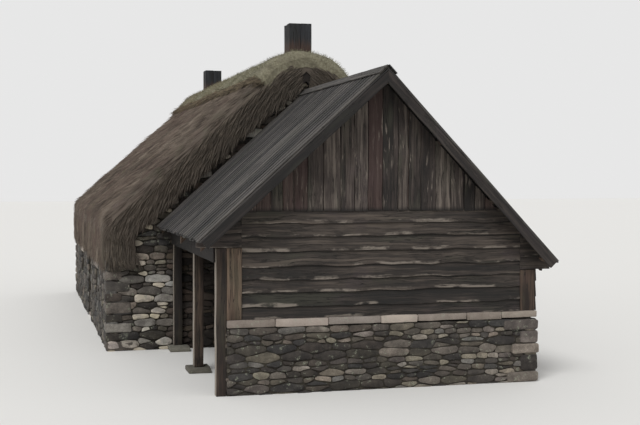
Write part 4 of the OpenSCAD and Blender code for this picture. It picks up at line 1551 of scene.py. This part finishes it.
# %% Reeds
TURF_EDGE = 6.5
REEDS_A_SIDE = 26000
for side, name in ((LEFT, "left_reeds"), (RIGHT, "right_reeds")):
    rng = random.Random(41 + side)
    reeds = Heap()
    for _ in range(REEDS_A_SIDE):
        step = rng.uniform(TURF_EDGE, last - 1.5)
        y = rng.uniform(VERGE_NEAR + 0.04, VERGE_FAR - 0.04)
        point, down, out = roof_frame(side, step, y)
        tone = min(max(0.5 + 0.6 * noise.noise(point * 1.4) + rng.gauss(0, 0.14), 0), 1)
        size = (rng.uniform(0.016, 0.036), rng.uniform(0.012, 0.024), rng.uniform(0.26, 0.48))
        put(reeds, REED, point - out * 0.014, down + stray(rng, 0.07) + out * 0.05, out, size,
            tone)
    reeds.make(name, thatch_stems, "thatch")

# %% [markdown]
# At the eaves reeds hang free, and at the verges they cover the cut ends of the thatch. The
# deeper they lie, the more they hang, and the darker their tone, as painted shade.

# %% Fringe
EAVE_REEDS = 4500
VERGE_REEDS = 3800
rng = random.Random(53)
fringe = Heap()
for side in (LEFT, RIGHT):
    for _ in range(EAVE_REEDS):
        y = rng.uniform(VERGE_NEAR + 0.05, VERGE_FAR - 0.05)
        point, down, out = roof_frame(side, last - rng.uniform(0.4, 4.0), y)
        size = (rng.uniform(0.014, 0.03), rng.uniform(0.01, 0.02), rng.uniform(0.16, 0.34))
        put(fringe, REED, point - out * 0.01, -Z + stray(rng, 0.08), out, size, rng.random())
    for end, face in ((VERGE_NEAR + END_ROOM, -Y), (VERGE_FAR - END_ROOM, Y)):
        for _ in range(VERGE_REEDS):
            step = rng.uniform(0.5, last - 1)
            depth = rng.uniform(0, 0.40)
            point = on_roof(side, step, end, -depth)
            down = roof_frame(side, step, end)[1]
            size = (rng.uniform(0.016, 0.034), rng.uniform(0.01, 0.02), rng.uniform(0.16, 0.34))
            way = down * (0.85 - depth) - Z * (0.3 + depth) + stray(rng, 0.10) + face * 0.03
            # the deeper a verge reed lies, the darker its tone: painted shade
            put(fringe, REED, point, way, face, size, rng.random() * (1 - depth * 1.8))
fringe.make("thatch_fringe", thatch_fringe, "thatch")

# %% [markdown]
# ## Turf on the ridge
# Sods lie over the ridge, thick in the middle and ragged at their lower edges. Their body is
# swept along the roof as the thatch was.

# %% Ridge turf
TURF_THICKNESS = 0.10
TURF_STEPS = 12
TURF_STEP = 0.11


def turf_reach(side, y):
    """How far down the roof line the sods reach, in steps."""
    return 7.0 + 0.9 * noise.noise(Vector((y * 0.9, side * 5, 3))) + 0.8 * noise.noise(
        Vector((y * 3.7, side * 5, 7)))


def sod_height(side, share, y):
    """The height of the sods over the thatch, thinner near their lower edge."""
    edge = math.sqrt(max(0.0, 1 - share ** 6))
    bumps = noise.noise(Vector((share * side * 3, y * 2.1, 5)))
    return 0.03 + TURF_THICKNESS * edge * (0.85 + 0.35 * bumps)


def turf_section(y):
    loop = []
    for side, shares in ((LEFT, range(TURF_STEPS, 0, -1)), (RIGHT, range(TURF_STEPS + 1))):
        for i in shares:
            share = i / TURF_STEPS
            loop.append(on_roof(side, share * turf_reach(side, y), y, sod_height(side, share, y)))
    for side, shares in ((RIGHT, range(TURF_STEPS, 0, -4)),
                         (LEFT, range(0, TURF_STEPS + 1, 4))):
        loop += [on_roof(side, i / TURF_STEPS * (turf_reach(side, y) - 0.15), y, -0.05)
                 for i in shares]
    return loop


TURF_NEAR, TURF_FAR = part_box("ridge_turf")[0].y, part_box("ridge_turf")[1].y
sods = Heap()
sods.take(sweep(turf_section, stations(TURF_NEAR + 0.02, TURF_FAR - 0.02, TURF_STEP)), 0.5)
sods.make("ridge_sods", turf_sods, "ridge_turf", ["ridge_turf"])

# %% [markdown]
# Dry roots hang over the lower edges of the sods, and short grass stands on them, except
# where the chimneys are.

# %% Roots and grass
ROOTS_A_SIDE = 4500
BLADES_A_SIDE = 7000
rng = random.Random(67)
roots, grass = Heap(), Heap()
for side in (LEFT, RIGHT):
    for _ in range(ROOTS_A_SIDE):
        y = rng.uniform(TURF_NEAR + 0.04, TURF_FAR - 0.04)
        step = turf_reach(side, y) - rng.uniform(-0.1, 0.5)
        point, down, out = roof_frame(side, step, y)
        size = (rng.uniform(0.010, 0.028), rng.uniform(0.008, 0.016), rng.uniform(0.08, 0.26))
        put(roots, REED, point + out * rng.uniform(0.0, 0.08), down + stray(rng, 0.24), out, size,
            rng.random())
    for _ in range(BLADES_A_SIDE):
        y = rng.uniform(TURF_NEAR + 0.04, TURF_FAR - 0.04)
        share = rng.random()
        step = share * turf_reach(side, y)
        point, down, out = roof_frame(side, step, y)
        if any(max(abs(point.x - m.x), abs(point.y - m.y)) < CHIMNEY_HALF for m in chimney_middles):
            continue
        point += out * (sod_height(side, share, y) - 0.008)
        size = (rng.uniform(0.008, 0.015), 0.006, rng.uniform(0.03, 0.085))
        put(grass, BLADE, point, out + Z * 0.4 + down * 0.5 + stray(rng, 0.45), X, size,
            rng.random())
roots.make("hanging_roots", root_fringe, "ridge_turf")
grass.make("ridge_grass", dry_grass, "ridge_turf")

# %% [markdown]
# ## Finishes for the CAD pieces that stay
# Walls become the bed of the stones, and the turf layer shows its earth at the eaves, darkened as
# painted shade under the thatch.

# %% Finishes on CAD nodes
for material, names in (
        (earth_bed, ("near_gable_wall", "far_gable_wall", "left_wall_near", "left_wall_far",
                     "right_wall", "front_plinth", "right_plinth")),
        (turf_earth_shaded, ("left_turf_layer", "right_turf_layer")),
        (window_glass, ("window_glass",))):
    for name in names:
        for material_slot in nodes[name].material_slots:
            material_slot.material = material
    print(material.name, "on", *names)

# %% [markdown]
# ## The end
# The dressed house has to stay in the CAD model's box. Last, the view layer is updated.

# %% The end
bpy.context.view_layer.update()
